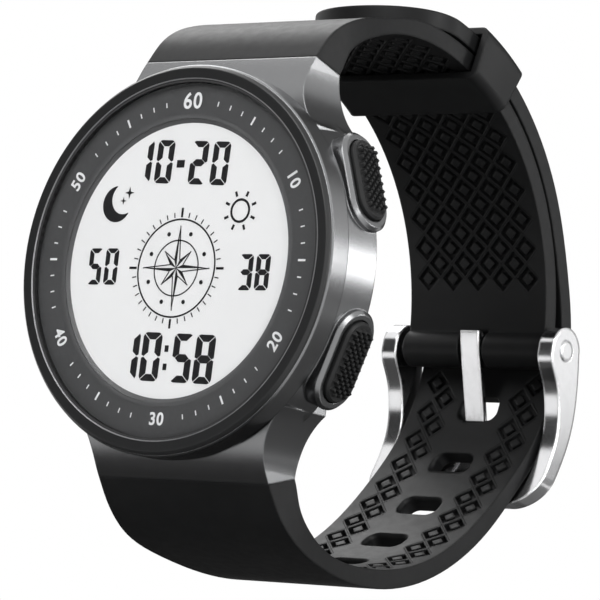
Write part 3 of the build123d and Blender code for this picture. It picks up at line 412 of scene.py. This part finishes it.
def ring_solid(profile, parts=240):
    """Solid ring swept from a (k, 2) profile of radius r and height h round the dial's axis.

    Vertex (i, j) is (r_j cos t_i, -h_j, r_j sin t_i); one quad joins each pair of neighbours.
    The profile runs anticlockwise with r to the right and h up, so the faces point outwards.
    """
    radius, height = np.asarray(profile, float).T
    turn = np.linspace(0, 2 * np.pi, parts, endpoint=False)[:, None]
    heights = np.broadcast_to(-height, (parts, len(height)))
    vertices = np.stack([radius * np.cos(turn), heights, radius * np.sin(turn)], -1).reshape(-1, 3)
    step, point = np.meshgrid(np.arange(parts), np.arange(len(height)), indexing="ij")
    after, next_point = (step + 1) % parts, (point + 1) % len(height)
    count = len(height)
    faces = np.stack([
        step * count + point, after * count + point,
        after * count + next_point, step * count + next_point,
    ], -1).reshape(-1, 4)
    return vertices, faces.tolist()


def coil(foot, axis, length, radius, wire, turns, steps=24, corners=8):
    """Coil of wire about an axis, as a grid of rings along its centre line.

    At turn t the centre is foot + axis * length * t / (2 pi turns) + radius * out(t), where
    out(t) = cos t * e1 + sin t * e2. Each ring is that centre + wire / 2 * (cos a * out(t) +
    sin a * axis). Quads run along and then round, so they face outwards; two caps close it.
    """
    foot, axis = np.asarray(foot, float), np.asarray(axis, float)
    first = np.array([0.0, 1.0, 0.0])
    second = np.cross(axis, first)
    turn = np.linspace(0, 2 * np.pi * turns, steps * turns + 1)[:, None]
    out = np.cos(turn) * first + np.sin(turn) * second
    centre = foot + axis * length * turn / turn[-1] + radius * out
    around = np.linspace(0, 2 * np.pi, corners, endpoint=False)[None, :, None]
    rings = centre[:, None] + wire / 2 * (np.cos(around) * out[:, None] + np.sin(around) * axis)
    step, corner = np.meshgrid(np.arange(len(rings) - 1), np.arange(corners), indexing="ij")
    after = (corner + 1) % corners
    sides = np.stack([
        step * corners + corner, (step + 1) * corners + corner,
        (step + 1) * corners + after, step * corners + after,
    ], -1).reshape(-1, 4)
    start = list(range(corners))
    end = [(len(rings) - 1) * corners + corner for corner in reversed(range(corners))]
    return rings.reshape(-1, 3), sides.tolist() + [start, end]


# Materials


def node_material(name):
    """Empty node material with a Principled shader and Object coordinates."""
    material = bpy.data.materials.new(name)
    material.use_nodes = True
    tree = material.node_tree
    tree.nodes.clear()
    output = tree.nodes.new("ShaderNodeOutputMaterial")
    shader = tree.nodes.new("ShaderNodeBsdfPrincipled")
    place = tree.nodes.new("ShaderNodeTexCoord")
    tree.links.new(shader.outputs["BSDF"], output.inputs["Surface"])
    return material, tree, shader, place.outputs["Object"]


def noise(tree, vector, scale, detail=3.0, stretch=(1, 1, 1)):
    """Noise in object space, stretched per axis; gives its factor."""
    node = tree.nodes.new("ShaderNodeTexNoise")
    node.inputs["Scale"].default_value = scale
    node.inputs["Detail"].default_value = detail
    if stretch != (1, 1, 1):
        mapping = tree.nodes.new("ShaderNodeMapping")
        mapping.inputs["Scale"].default_value = stretch
        tree.links.new(vector, mapping.inputs["Vector"])
        vector = mapping.outputs["Vector"]
    tree.links.new(vector, node.inputs["Vector"])
    return node.outputs["Fac"]


def to_range(tree, value, low, high, source=(0.3, 0.7)):
    """Map a value from a source range to low..high."""
    node = tree.nodes.new("ShaderNodeMapRange")
    node.inputs["From Min"].default_value = source[0]
    node.inputs["From Max"].default_value = source[1]
    node.inputs["To Min"].default_value = low
    node.inputs["To Max"].default_value = high
    tree.links.new(value, node.inputs["Value"])
    return node.outputs["Result"]


def maths(tree, kind, first, second=None):
    """One Math node; each input is a socket or a number."""
    node = tree.nodes.new("ShaderNodeMath")
    node.operation = kind
    for index, value in enumerate((first, second)):
        if value is None:
            continue
        if isinstance(value, (int, float)):
            node.inputs[index].default_value = value
        else:
            tree.links.new(value, node.inputs[index])
    return node.outputs[0]


def dial_radius(tree, place):
    """Distance from the dial's axis: sqrt(x^2 + z^2)."""
    split = tree.nodes.new("ShaderNodeSeparateXYZ")
    tree.links.new(place, split.inputs["Vector"])
    squares = [maths(tree, "MULTIPLY", split.outputs[axis], split.outputs[axis]) for axis in "XZ"]
    return maths(tree, "SQRT", maths(tree, "ADD", *squares))


def varied_colour(tree, shader, colour, value, amount):
    """Base colour that runs between a darker and a lighter tone of one colour."""
    ramp = tree.nodes.new("ShaderNodeValToRGB")
    dark = [channel * (1 - amount) for channel in colour]
    light = [min(1.0, channel * (1 + amount)) for channel in colour]
    ramp.color_ramp.elements[0].position = 0.3
    ramp.color_ramp.elements[1].position = 0.7
    ramp.color_ramp.elements[0].color = (*dark, 1)
    ramp.color_ramp.elements[1].color = (*light, 1)
    tree.links.new(value, ramp.inputs["Fac"])
    tree.links.new(ramp.outputs["Color"], shader.inputs["Base Color"])


def overlay(tree, shader, mask, colour):
    """Lay one colour over a shader's base colour, by a mask from 0 to 1."""
    under = shader.inputs["Base Color"].links[0].from_socket
    shade = tree.nodes.new("ShaderNodeMix")
    shade.data_type = "RGBA"
    shade.inputs[MIX_OVER].default_value = colour
    tree.links.new(mask, shade.inputs[MIX_FACTOR])
    tree.links.new(under, shade.inputs[MIX_UNDER])
    tree.links.new(shade.outputs[MIX_RESULT], shader.inputs["Base Color"])


def relief(tree, shader, height, depth, edge=0.0):
    """Bump from a height, over edges that a Bevel node rounds by a small radius."""
    bump = tree.nodes.new("ShaderNodeBump")
    bump.inputs["Strength"].default_value = 1.0
    bump.inputs["Distance"].default_value = depth
    tree.links.new(height, bump.inputs["Height"])
    if edge > 0:
        bevel = tree.nodes.new("ShaderNodeBevel")
        bevel.samples = 4
        bevel.inputs["Radius"].default_value = edge
        tree.links.new(bevel.outputs["Normal"], bump.inputs["Normal"])
    tree.links.new(bump.outputs["Normal"], shader.inputs["Normal"])


def finish(name, colour, *, roughness, metallic=0.0, grain=900.0, spread=0.08, rough_spread=0.05,
           bump_scale=5000.0, bump_depth=0.00001, edge=0.0, stretch=(1, 1, 1), **sockets):
    """A finish with tone, roughness and grain that vary over the surface.

    grain and bump_scale are noise scales per metre; bump_depth and edge are in metres. spread is
    a share of the colour, rough_spread is added to and taken from the roughness.
    """
    material, tree, shader, place = node_material(name)
    tone = noise(tree, place, grain, 4.0, stretch)
    varied_colour(tree, shader, colour, tone, spread)
    wear = noise(tree, place, grain * 0.37, 2.0, stretch)
    tree.links.new(
        to_range(tree, wear, max(0.02, roughness - rough_spread), roughness + rough_spread),
        shader.inputs["Roughness"],
    )
    relief(tree, shader, noise(tree, place, bump_scale, 2.0, stretch), bump_depth, edge)
    shader.inputs["Metallic"].default_value = metallic
    for socket, value in sockets.items():
        shader.inputs[socket.replace("_", " ")].default_value = value
    return material


def dress(nodes, material):
    """Give CAD nodes one material."""
    for name in nodes:
        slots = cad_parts[name].data.materials
        slots.clear()
        slots.append(material)


def ring_ground(name, context):
    """Matt grey ground of the dial ring and its lip."""
    return finish(
        name, tuple(context.scene.watch_colours.ring), roughness=0.5, grain=2500.0, spread=0.05,
        rough_spread=0.04, bump_scale=12000.0, bump_depth=0.000004,
    )


def display_ink(name, context):
    """Near black, nearly matt ink of the display."""
    return finish(
        name, tuple(context.scene.watch_colours.ink), roughness=0.6, spread=0.1,
        Specular_IOR_Level=0.1,
    )


def print_on_display(name, outlines, ink):
    """Piece of print on the display from outlines in millimetres."""
    vertices, faces = plates(outlines, DISPLAY_HEIGHT + PRINT_LIFT)
    new_piece(name, vertices, faces, ink)


def strap_rubber(name, colour, widths, angles, face_radius):
    """Moulded rubber whose inner face has fine diagonal grooves between its pockets, painted near black
    as painted shade.

    Along the strap s = loop radius * angle about the loop's centre; the grooves run where
    (s + x) / pitch or (s - x) / pitch is half way between whole numbers, between two widths
    across, two angles along and inside a radius.
    """
    material, tree, shader, place = node_material(name)
    split = tree.nodes.new("ShaderNodeSeparateXYZ")
    tree.links.new(place, split.inputs["Vector"])
    x = split.outputs["X"]
    y = maths(tree, "SUBTRACT", split.outputs["Y"], LOOP_CENTRE[0] * MM)
    z = maths(tree, "SUBTRACT", split.outputs["Z"], LOOP_CENTRE[1] * MM)
    angle = maths(tree, "ARCTAN2", z, y)
    squares = [maths(tree, "MULTIPLY", side, side) for side in (y, z)]
    radius = maths(tree, "SQRT", maths(tree, "ADD", *squares))
    start = math.radians(angles[0])
    low, high = sorted(math.radians(value) for value in angles)
    along = maths(tree, "MULTIPLY", maths(tree, "SUBTRACT", angle, start), LOOP_RADIUS * MM)
    grooves = []
    for kind in ("ADD", "SUBTRACT"):
        line = maths(tree, "DIVIDE", maths(tree, kind, along, x), LATTICE_PITCH * MM)
        offset = maths(tree, "ABSOLUTE", maths(tree, "SUBTRACT", maths(tree, "FRACT", line), 0.5))
        grooves.append(to_range(tree, offset, 1.0, 0.0, (0.0, GROOVE_HALF_WIDTH)))
    groove = maths(tree, "MAXIMUM", *grooves)
    across = maths(tree, "ABSOLUTE", x)
    for kind, value, limit in (
        ("LESS_THAN", radius, face_radius * MM), ("GREATER_THAN", angle, low),
        ("LESS_THAN", angle, high), ("GREATER_THAN", across, widths[0] * MM),
        ("LESS_THAN", across, widths[1] * MM),
    ):
        groove = maths(tree, "MULTIPLY", groove, maths(tree, kind, value, limit))
    varied_colour(tree, shader, colour, noise(tree, place, 420.0, 3.0), 0.1)
    # Painted shade: the grooves' colour is darkened to near black
    overlay(tree, shader, groove, GROOVE_SHADE_BLACK)
    sheen = to_range(tree, noise(tree, place, 900.0, 2.0), *RUBBER_ROUGHNESS)
    matt = maths(tree, "MAXIMUM", sheen, maths(tree, "MULTIPLY", groove, GROOVE_ROUGHNESS))
    tree.links.new(matt, shader.inputs["Roughness"])
    grain = maths(tree, "MULTIPLY", noise(tree, place, 9000.0, 2.0), GRAIN_DEPTH)
    height = maths(tree, "SUBTRACT", grain, maths(tree, "MULTIPLY", groove, GROOVE_DEPTH))
    relief(tree, shader, height, STRAP_RELIEF, edge=RUBBER_EDGE)
    shader.inputs["Specular IOR Level"].default_value = 0.2
    return material


class WATCH_OT_case_finish(bpy.types.Operator):
    """Give the case, bezel, dial ring and case back their metals and lacquers"""

    bl_idname = "watch.case_finish"
    bl_label = "Case finish"

    def polished_edge(self, material):
        """Bare polished metal on the bezel's inner edge, inside a radius from the dial's axis."""
        tree = material.node_tree
        shader = next(node for node in tree.nodes if node.type == "BSDF_PRINCIPLED")
        place = next(node for node in tree.nodes if node.type == "TEX_COORD").outputs["Object"]
        inside = maths(tree, "LESS_THAN", dial_radius(tree, place), BEZEL_EDGE_RADIUS * MM)
        overlay(tree, shader, inside, EDGE_METAL)
        tree.links.new(inside, shader.inputs["Metallic"])

    def execute(self, context):
        colours = context.scene.watch_colours
        case = finish(
            "case_metal", tuple(colours.case), roughness=0.25, metallic=1.0, grain=2600.0,
            spread=0.02, rough_spread=0.01, bump_scale=12000.0, bump_depth=0.0000006, edge=0.00022,
        )
        dress(["case_body"], case)
        bezel = finish(
            "bezel_lacquer", tuple(colours.bezel), roughness=0.32, grain=1800.0, spread=0.03,
            rough_spread=0.01, bump_scale=9000.0, bump_depth=0.0000006, edge=0.00025,
            Specular_IOR_Level=0.45,
        )
        self.polished_edge(bezel)
        dress(["bezel_ring"], bezel)
        dress(["dial_ring"], ring_ground("ring_print_ground", context))
        steel = finish(
            "case_back_steel", (0.5, 0.5, 0.51), roughness=0.34, metallic=1.0, grain=2400.0,
            spread=0.05, rough_spread=0.04, bump_scale=14000.0, bump_depth=0.000002, edge=0.0002,
        )
        dress(["case_back"], steel)
        screws = finish(
            "screw_steel", (0.6, 0.6, 0.6), roughness=0.28, metallic=1.0, grain=2600.0,
            bump_scale=8000.0, bump_depth=0.000003, edge=0.0001,
        )
        dress(["case_back_screws", "spring_bar_upper", "spring_bar_lower", "quartz_can"], screws)
        return {"FINISHED"}


class WATCH_OT_crystal_finish(bpy.types.Operator):
    """Make the crystal clear, with light passing through it to the display, and black at its edge as a
    printed border and painted shade
    """

    bl_idname = "watch.crystal_finish"
    bl_label = "Crystal finish"

    def execute(self, context):
        material, tree, shader, place = node_material("crystal_glass")
        shader.inputs["Base Color"].default_value = WHITE
        shader.inputs["Transmission Weight"].default_value = 1.0
        shader.inputs["IOR"].default_value = 1.32
        haze = noise(tree, place, 60.0, 3.0)
        tree.links.new(to_range(tree, haze, 0.0, 0.02), shader.inputs["Roughness"])
        clear = tree.nodes.new("ShaderNodeBsdfTransparent")
        path = tree.nodes.new("ShaderNodeLightPath")
        mix = tree.nodes.new("ShaderNodeMixShader")
        output = next(node for node in tree.nodes if node.type == "OUTPUT_MATERIAL")
        passing = maths(tree, "MAXIMUM", path.outputs["Is Shadow Ray"], path.outputs["Is Diffuse Ray"])
        tree.links.new(passing, mix.inputs["Fac"])
        tree.links.new(shader.outputs["BSDF"], mix.inputs[1])
        tree.links.new(clear.outputs["BSDF"], mix.inputs[2])
        # Black border past a radius: partly a printed border, partly painted shade of the ring's wall
        # under the bezel
        border_print_and_shade = tree.nodes.new("ShaderNodeBsdfPrincipled")
        border_print_and_shade.inputs["Base Color"].default_value = BORDER_PRINT_AND_SHADE_BLACK
        border_print_and_shade.inputs["Roughness"].default_value = 0.4
        edge = tree.nodes.new("ShaderNodeMixShader")
        border_print_and_shade_mask = maths(tree, "GREATER_THAN", dial_radius(tree, place), CRYSTAL_EDGE_RADIUS * MM)
        tree.links.new(border_print_and_shade_mask, edge.inputs["Fac"])
        tree.links.new(mix.outputs["Shader"], edge.inputs[1])
        tree.links.new(border_print_and_shade.outputs["BSDF"], edge.inputs[2])
        tree.links.new(edge.outputs["Shader"], output.inputs["Surface"])
        dress(["crystal"], material)
        return {"FINISHED"}


class WATCH_OT_display_finish(bpy.types.Operator):
    """Give the display its pale grey ground"""

    bl_idname = "watch.display_finish"
    bl_label = "Display finish"

    def execute(self, context):
        ground = finish(
            "display_ground", tuple(context.scene.watch_colours.display), roughness=0.45,
            grain=90.0, spread=0.012, rough_spread=0.03, bump_scale=14000.0, bump_depth=0.000001,
            Specular_IOR_Level=0.3,
        )
        dress(["lcd_cell"], ground)
        return {"FINISHED"}


class WATCH_OT_rubber_finish(bpy.types.Operator):
    """Give the straps, keeper, pushers and seals their rubber"""

    bl_idname = "watch.rubber_finish"
    bl_label = "Rubber finish"

    def execute(self, context):
        colour = tuple(context.scene.watch_colours.rubber)
        for node, (name, widths, angles, face_radius) in GROOVED_FACES.items():
            dress([node], strap_rubber(name, colour, widths, angles, face_radius))
        keeper = finish(
            "keeper_rubber", colour, roughness=0.46, grain=420.0, spread=0.1, bump_scale=9000.0,
            bump_depth=0.000008, edge=RUBBER_EDGE, Specular_IOR_Level=0.22,
        )
        dress(["keeper"], keeper)
        cap = finish(
            "pusher_rubber", colour, roughness=0.5, grain=700.0, spread=0.12, rough_spread=0.06,
            bump_scale=7000.0, bump_depth=0.00001, edge=0.00012, Specular_IOR_Level=0.35,
        )
        dress([f"pusher_{name}" for name in PUSHER_SIDES], cap)
        seal = finish("seal_rubber", (0.02, 0.02, 0.021), roughness=0.55, grain=1200.0, spread=0.1)
        dress(["crystal_gasket", "case_back_gasket", "module_cushion"], seal)
        dress([f"seal_{name}" for name in PUSHER_SIDES], seal)
        return {"FINISHED"}


class WATCH_OT_buckle_finish(bpy.types.Operator):
    """Give the buckle, its pin and its tongue a polished metal"""

    bl_idname = "watch.buckle_finish"
    bl_label = "Buckle finish"

    def execute(self, context):
        chrome = finish(
            "buckle_chrome", tuple(context.scene.watch_colours.chrome), roughness=0.15,
            metallic=1.0, grain=1500.0, spread=0.02, rough_spread=0.02, bump_scale=9000.0,
            bump_depth=0.000001, edge=0.0005,
        )
        dress(["buckle_frame", "buckle_pin", "buckle_tongue"], chrome)
        return {"FINISHED"}


class WATCH_OT_module_finish(bpy.types.Operator):
    """Give the pieces inside the case their plastics and metals"""

    bl_idname = "watch.module_finish"
    bl_label = "Module finish"

    def execute(self, context):
        metal = {"metallic": 1.0, "spread": 0.08}
        guide = finish("light_guide", (0.8, 0.83, 0.86), roughness=0.3, grain=300.0, spread=0.04)
        dress(["backlight_panel"], guide)
        plastic = finish("frame_plastic", (0.03, 0.03, 0.032), roughness=0.55, grain=700.0, spread=0.1)
        dress(["module_frame"], plastic)
        contacts = finish(
            "contact_rubber", (0.42, 0.36, 0.27), roughness=0.6, grain=2200.0, spread=0.25,
            stretch=(8, 1, 1),
        )
        dress(["connector_strips"], contacts)
        mask = finish("board_mask", (0.02, 0.11, 0.05), roughness=0.35, grain=1600.0, spread=0.3)
        dress(["circuit_board"], mask)
        coating = finish("chip_coating", (0.01, 0.01, 0.011), roughness=0.15, grain=300.0, spread=0.2)
        dress(["controller_chip"], coating)
        cell = finish(
            "cell_steel", (0.62, 0.62, 0.61), roughness=0.28, grain=900.0, stretch=(1, 1, 10), **metal,
        )
        dress(["battery"], cell)
        spring = finish("spring_steel", (0.5, 0.5, 0.5), roughness=0.25, grain=2500.0, **metal)
        dress(["battery_clip", "buzzer_spring", "switch_blades"], spring)
        dress([f"clip_{name}" for name in PUSHER_SIDES], spring)
        brass = finish("sounder_brass", (0.6, 0.42, 0.15), roughness=0.3, grain=1200.0, **metal)
        dress(["buzzer_disc"], brass)
        return {"FINISHED"}


class WATCH_OT_return_springs(bpy.types.Operator):
    """Wind each pusher's return spring in place of its CAD spring"""

    bl_idname = "watch.return_springs"
    bl_label = "Return springs"

    def execute(self, context):
        steel = finish(
            "return_spring_steel", (0.5, 0.5, 0.5), roughness=0.25, metallic=1.0, grain=2500.0,
        )
        for name, (side, end) in PUSHER_SIDES.items():
            facing = math.radians(PUSHER_FACING)
            axis = np.array([side * math.cos(facing), 0.0, end * math.sin(facing)])
            middle = np.mean(np.array(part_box(f"spring_{name}"), float), 0) / MM
            foot = middle - axis * SPRING_LENGTH / 2
            vertices, faces = coil(
                foot, axis, SPRING_LENGTH, SPRING_RADIUS, SPRING_WIRE, SPRING_TURNS,
            )
            spring = new_piece(
                f"return_spring_{name}", vertices, faces, steel, smooth=True,
            )
            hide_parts(f"spring_{name}")
            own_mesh(spring)
        return {"FINISHED"}


class WATCH_OT_display_figures(bpy.types.Operator):
    """Print the display's figures: date, hour and two small readings"""

    bl_idname = "watch.display_figures"
    bl_label = "Display figures"

    def execute(self, context):
        display = context.scene.watch_display
        gap = display.gap / MM
        ink = display_ink("segment_ink", context)
        for name, (text, places, foot, height, width, turn) in DISPLAY_FIGURES.items():
            outlines = figures(text, places, foot, height, width, display.stroke, gap)
            if turn:
                outlines = turned(outlines, turn)
            print_on_display(name, outlines, ink)
        square = np.array([(0, 0), (1, 0), (1, 1), (0, 1)])
        dots = np.stack([square * size + corner for size, corner in DISPLAY_DOTS])
        print_on_display("display_dots", dots, ink)
        return {"FINISHED"}


class WATCH_OT_display_pictures(bpy.types.Operator):
    """Print the display's crescent, sun and compass rose"""

    bl_idname = "watch.display_pictures"
    bl_label = "Display pictures"

    def execute(self, context):
        ink = display_ink("picture_ink", context)
        angle = np.arange(8) * np.pi / 4
        half_step = np.pi / 8
        odd = np.arange(8) % 2
        ray = np.stack([np.cos(angle), np.sin(angle)], -1)
        spike = ray * np.where(odd, STAR_SHORT_POINT, 1)[:, None]
        stars = np.stack([np.array(place) + size * spike for place, size in STARS])
        sun = np.concatenate([hoops(SUN_CENTRE, *SUN_RING), rays(SUN_CENTRE, *SUN_RAYS)])
        reach = context.scene.watch_display.rose_radius / MM
        middle = np.array(ROSE_CENTRE)
        tip = middle + ray * (np.where(odd, ROSE_SHORT_POINT, 1.0) * reach)[:, None]
        notch, back_notch = (
            np.stack([np.cos(turn), np.sin(turn)], -1) * ROSE_NOTCH * reach
            for turn in (angle + half_step, angle - half_step)
        )
        points = np.stack([np.broadcast_to(middle, ray.shape), tip, middle + notch], 1)
        outline = bars(middle + back_notch, tip, ROSE_LINE)
        ring = np.concatenate(
            [hoops(middle, inner * reach, outer * reach, parts) for inner, outer, parts in ROSE_RINGS]
            + [
                rays(middle, inner * reach, outer * reach, count, width)
                for inner, outer, count, width in ROSE_TICKS
            ]
        )
        place, bead_radius, corners = ROSE_BEADS
        beads = np.stack([
            circle(middle + place * reach * np.array([math.cos(a), math.sin(a)]), bead_radius, corners)
            for a in angle + half_step
        ])
        for name, outlines in {
            "display_crescent": crescent_strips(*CRESCENT), "display_stars": stars,
            "display_sun": sun, "display_rose": points, "display_rose_outline": outline,
            "display_rose_ring": ring, "display_beads": beads,
        }.items():
            print_on_display(name, outlines, ink)
        return {"FINISHED"}


class WATCH_OT_ring_print(bpy.types.Operator):
    """Print the dial ring's minute numbers and ticks"""

    bl_idname = "watch.ring_print"
    bl_label = "Ring print"

    def execute(self, context):
        print_white = tuple(context.scene.watch_colours.print_white)
        ink = finish("ring_ink", print_white, roughness=0.5, spread=0.04)
        low = RING_HEIGHT + PRINT_LIFT
        for text, angle, height, turn in RING_NUMBERS:
            curve = bpy.data.curves.new(f"number_{text}", "FONT")
            curve.body = text
            curve.size = height * FONT_SIZE_PER_HEIGHT
            curve.align_x = "CENTER"
            curve.align_y = "CENTER"
            curve.offset = LETTER_GROWTH
            curve.extrude = PRINT_THICKNESS / 2
            curve.space_character = LETTER_SPACING
            holder = bpy.data.objects.new("number", curve)
            mesh = bpy.data.meshes.new_from_object(holder)
            flat = np.empty(len(mesh.vertices) * 3)
            mesh.vertices.foreach_get("co", flat)
            flat = flat.reshape(-1, 3)
            cos, sin = math.cos(math.radians(turn)), math.sin(math.radians(turn))
            ray = np.array([math.cos(math.radians(angle)), math.sin(math.radians(angle))])
            place = RING_NUMBER_RADIUS * ray
            x = flat[:, 0] * cos - flat[:, 1] * sin + place[0]
            z = flat[:, 0] * sin + flat[:, 1] * cos + place[1]
            y = -(low + PRINT_THICKNESS / 2 + flat[:, 2])
            mesh.vertices.foreach_set("co", (np.stack([x, y, z], -1) * MM).ravel())
            mesh.materials.clear()
            mesh.materials.append(ink)
            mesh.update()
            piece = bpy.data.objects.new(f"ring_number_{text}", mesh)
            context.scene.collection.objects.link(piece)
            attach(piece, "watch")
            bpy.data.objects.remove(holder)
        # One tick a minute between the numbers, with a longer one half way
        steps = np.array([-3, -2, -1, 1, 2, 3])
        halves = np.radians(60 * np.arange(6))
        minutes = (halves[:, None] + np.radians(6 * steps)).ravel()
        ticks = []
        for turns, (inner, outer, width) in ((minutes, MINUTE_TICK), (halves, HALF_WAY_TICK)):
            ray = np.stack([np.cos(turns), np.sin(turns)], -1)
            ticks.append(bars(inner * ray, outer * ray, width))
        vertices, faces = plates(np.concatenate(ticks), low)
        new_piece("ring_ticks", vertices, faces, ink)
        return {"FINISHED"}


class WATCH_OT_ring_lip(bpy.types.Operator):
    """Build the thin lip of the dial ring round the display"""

    bl_idname = "watch.ring_lip"
    bl_label = "Ring lip"

    def execute(self, context):
        lip = ring_ground("ring_lip_print", context)
        vertices, faces = ring_solid(LIP_PROFILE)
        new_piece("ring_lip", vertices, faces, lip)
        return {"FINISHED"}


class WATCH_OT_stage(bpy.types.Operator):
    """Set the camera, lamps, world and floor"""

    bl_idname = "watch.stage"
    bl_label = "Stage"

    def lamp(self, scene, name, place, aim, size, power):
        """Soft area lamp at a place, aimed at a point; sizes and places in metres."""
        light = bpy.data.lights.new(name, "AREA")
        light.shape = "RECTANGLE"
        light.size, light.size_y = size
        light.energy = power
        lamp = bpy.data.objects.new(name, light)
        scene.collection.objects.link(lamp)
        aim_line = Vector(aim) - Vector(place)
        lamp.matrix_world = (
            Matrix.Translation(place) @ aim_line.to_track_quat("-Z", "Y").to_matrix().to_4x4()
        )

    def card(self, scene, name, place, aim, size, tone):
        """Card of a grey tone that camera, diffuse and shadow rays pass by, facing a point."""
        width, height = size
        square = np.array([(-1, -1, 0), (1, -1, 0), (1, 1, 0), (-1, 1, 0)])
        corners = square * (width / 2, height / 2, 0)
        turn = (Vector(aim) - Vector(place)).to_track_quat("Z", "Y").to_matrix()
        mesh = bpy.data.meshes.new(name)
        corners = corners @ np.array(turn).T + np.array(place)
        mesh.from_pydata(corners.tolist(), [], [(0, 1, 2, 3)])
        mesh.materials.append(
            finish(name, (tone, tone, tone), roughness=0.9, grain=20.0, spread=0.01)
        )
        card = bpy.data.objects.new(name, mesh)
        scene.collection.objects.link(card)
        card.visible_camera = False
        card.visible_diffuse = False
        card.visible_shadow = False

    def floor_paper(self):
        """White paper that still takes the watch's shadow."""
        paper = finish("floor_paper", (0.9, 0.9, 0.9), roughness=0.8, grain=20.0, spread=0.01)
        tree = paper.node_tree
        output = next(node for node in tree.nodes if node.type == "OUTPUT_MATERIAL")
        shader = next(node for node in tree.nodes if node.type == "BSDF_PRINCIPLED")
        glow = tree.nodes.new("ShaderNodeEmission")
        path = tree.nodes.new("ShaderNodeLightPath")
        seen = maths(tree, "MAXIMUM", path.outputs["Is Camera Ray"], path.outputs["Is Glossy Ray"])
        seen = maths(tree, "MAXIMUM", seen, path.outputs["Is Transmission Ray"])
        mix = tree.nodes.new("ShaderNodeMixShader")
        tree.links.new(maths(tree, "MULTIPLY", seen, FLOOR_GLOW), mix.inputs["Fac"])
        tree.links.new(shader.outputs["BSDF"], mix.inputs[1])
        tree.links.new(glow.outputs["Emission"], mix.inputs[2])
        tree.links.new(mix.outputs["Shader"], output.inputs["Surface"])
        return paper

    def execute(self, context):
        scene = context.scene
        stage = scene.watch_stage
        az, el, roll = stage.azimuth, stage.elevation, stage.roll
        back = Vector((math.sin(az) * math.cos(el), -math.cos(az) * math.cos(el), math.sin(el)))
        level = Vector((math.cos(az), math.sin(az), 0))
        rise = back.cross(level)
        right = level * math.cos(roll) + rise * math.sin(roll)
        up = back.cross(right)
        place = Vector(stage.aim) + back * stage.distance
        data = bpy.data.cameras.new("camera")
        data.sensor_width = 36
        data.sensor_fit = "HORIZONTAL"
        data.lens = stage.lens
        data.clip_start = 0.01
        data.clip_end = 20
        camera = bpy.data.objects.new("camera", data)
        scene.collection.objects.link(camera)
        turn = Matrix((right, up, back)).transposed().to_4x4()
        camera.matrix_world = Matrix.Translation(place) @ turn
        scene.camera = camera

        world = bpy.data.worlds.new("studio")
        world.use_nodes = True
        tree = world.node_tree
        tree.nodes.clear()
        output = tree.nodes.new("ShaderNodeOutputWorld")
        fill = tree.nodes.new("ShaderNodeBackground")
        fill.inputs["Color"].default_value = WHITE
        fill.inputs["Strength"].default_value = WORLD_FILL
        white = tree.nodes.new("ShaderNodeBackground")
        white.inputs["Color"].default_value = WHITE
        white.inputs["Strength"].default_value = 1.0
        path = tree.nodes.new("ShaderNodeLightPath")
        seen = maths(tree, "MAXIMUM", path.outputs["Is Camera Ray"], path.outputs["Is Transmission Ray"])
        seen = maths(tree, "MAXIMUM", seen, path.outputs["Is Glossy Ray"])
        mix = tree.nodes.new("ShaderNodeMixShader")
        tree.links.new(seen, mix.inputs["Fac"])
        tree.links.new(fill.outputs["Background"], mix.inputs[1])
        tree.links.new(white.outputs["Background"], mix.inputs[2])
        tree.links.new(mix.outputs["Shader"], output.inputs["Surface"])
        scene.world = world

        for name, values in LAMPS.items():
            self.lamp(scene, name, *values)
        for name, values in CARDS.items():
            self.card(scene, name, *values)

        mesh = bpy.data.meshes.new("floor")
        reach, drop = FLOOR_REACH, -stage.floor_drop
        mesh.from_pydata(
            [(-reach, -reach, drop), (reach, -reach, drop), (reach, reach, drop), (-reach, reach, drop)],
            [], [(0, 1, 2, 3)],
        )
        floor = bpy.data.objects.new("floor", mesh)
        scene.collection.objects.link(floor)
        mesh.materials.append(self.floor_paper())
        scene.view_settings.view_transform = "Standard"
        return {"FINISHED"}


OPERATORS = (
    WATCH_OT_case_finish,
    WATCH_OT_crystal_finish,
    WATCH_OT_display_finish,
    WATCH_OT_rubber_finish,
    WATCH_OT_buckle_finish,
    WATCH_OT_module_finish,
    WATCH_OT_return_springs,
    WATCH_OT_display_figures,
    WATCH_OT_display_pictures,
    WATCH_OT_ring_print,
    WATCH_OT_ring_lip,
    WATCH_OT_stage,
)


class WATCH_PT_panel(bpy.types.Panel):
    """Sizes, colours and steps of the watch"""

    bl_idname = "WATCH_PT_panel"
    bl_label = "Digital watch"
    bl_space_type = "VIEW_3D"
    bl_region_type = "UI"
    bl_category = "Watch"

    def draw(self, context):
        scene = context.scene
        for group in (scene.watch_colours, scene.watch_display, scene.watch_stage):
            box = self.layout.box()
            for name in group.__annotations__:
                box.prop(group, name)
        for operator in OPERATORS:
            self.layout.operator(operator.bl_idname)


GROUPS = {"watch_colours": WatchColours, "watch_display": WatchDisplay, "watch_stage": WatchStage}


def register():
    for name, group in GROUPS.items():
        bpy.utils.register_class(group)
        setattr(bpy.types.Scene, name, bpy.props.PointerProperty(type=group))
    for operator in OPERATORS:
        bpy.utils.register_class(operator)
    bpy.utils.register_class(WATCH_PT_panel)


def unregister():
    bpy.utils.unregister_class(WATCH_PT_panel)
    for operator in reversed(OPERATORS):
        bpy.utils.unregister_class(operator)
    for name, group in GROUPS.items():
        delattr(bpy.types.Scene, name)
        bpy.utils.unregister_class(group)


def main():
    """Run every step in order."""
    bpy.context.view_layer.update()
    register()
    bpy.ops.watch.case_finish()
    bpy.ops.watch.crystal_finish()
    bpy.ops.watch.display_finish()
    bpy.ops.watch.rubber_finish()
    bpy.ops.watch.buckle_finish()
    bpy.ops.watch.module_finish()
    bpy.ops.watch.return_springs()
    bpy.ops.watch.display_figures()
    bpy.ops.watch.display_pictures()
    bpy.ops.watch.ring_print()
    bpy.ops.watch.ring_lip()
    bpy.ops.watch.stage()
    bpy.context.view_layer.update()


if __name__ == "__main__":
    main()
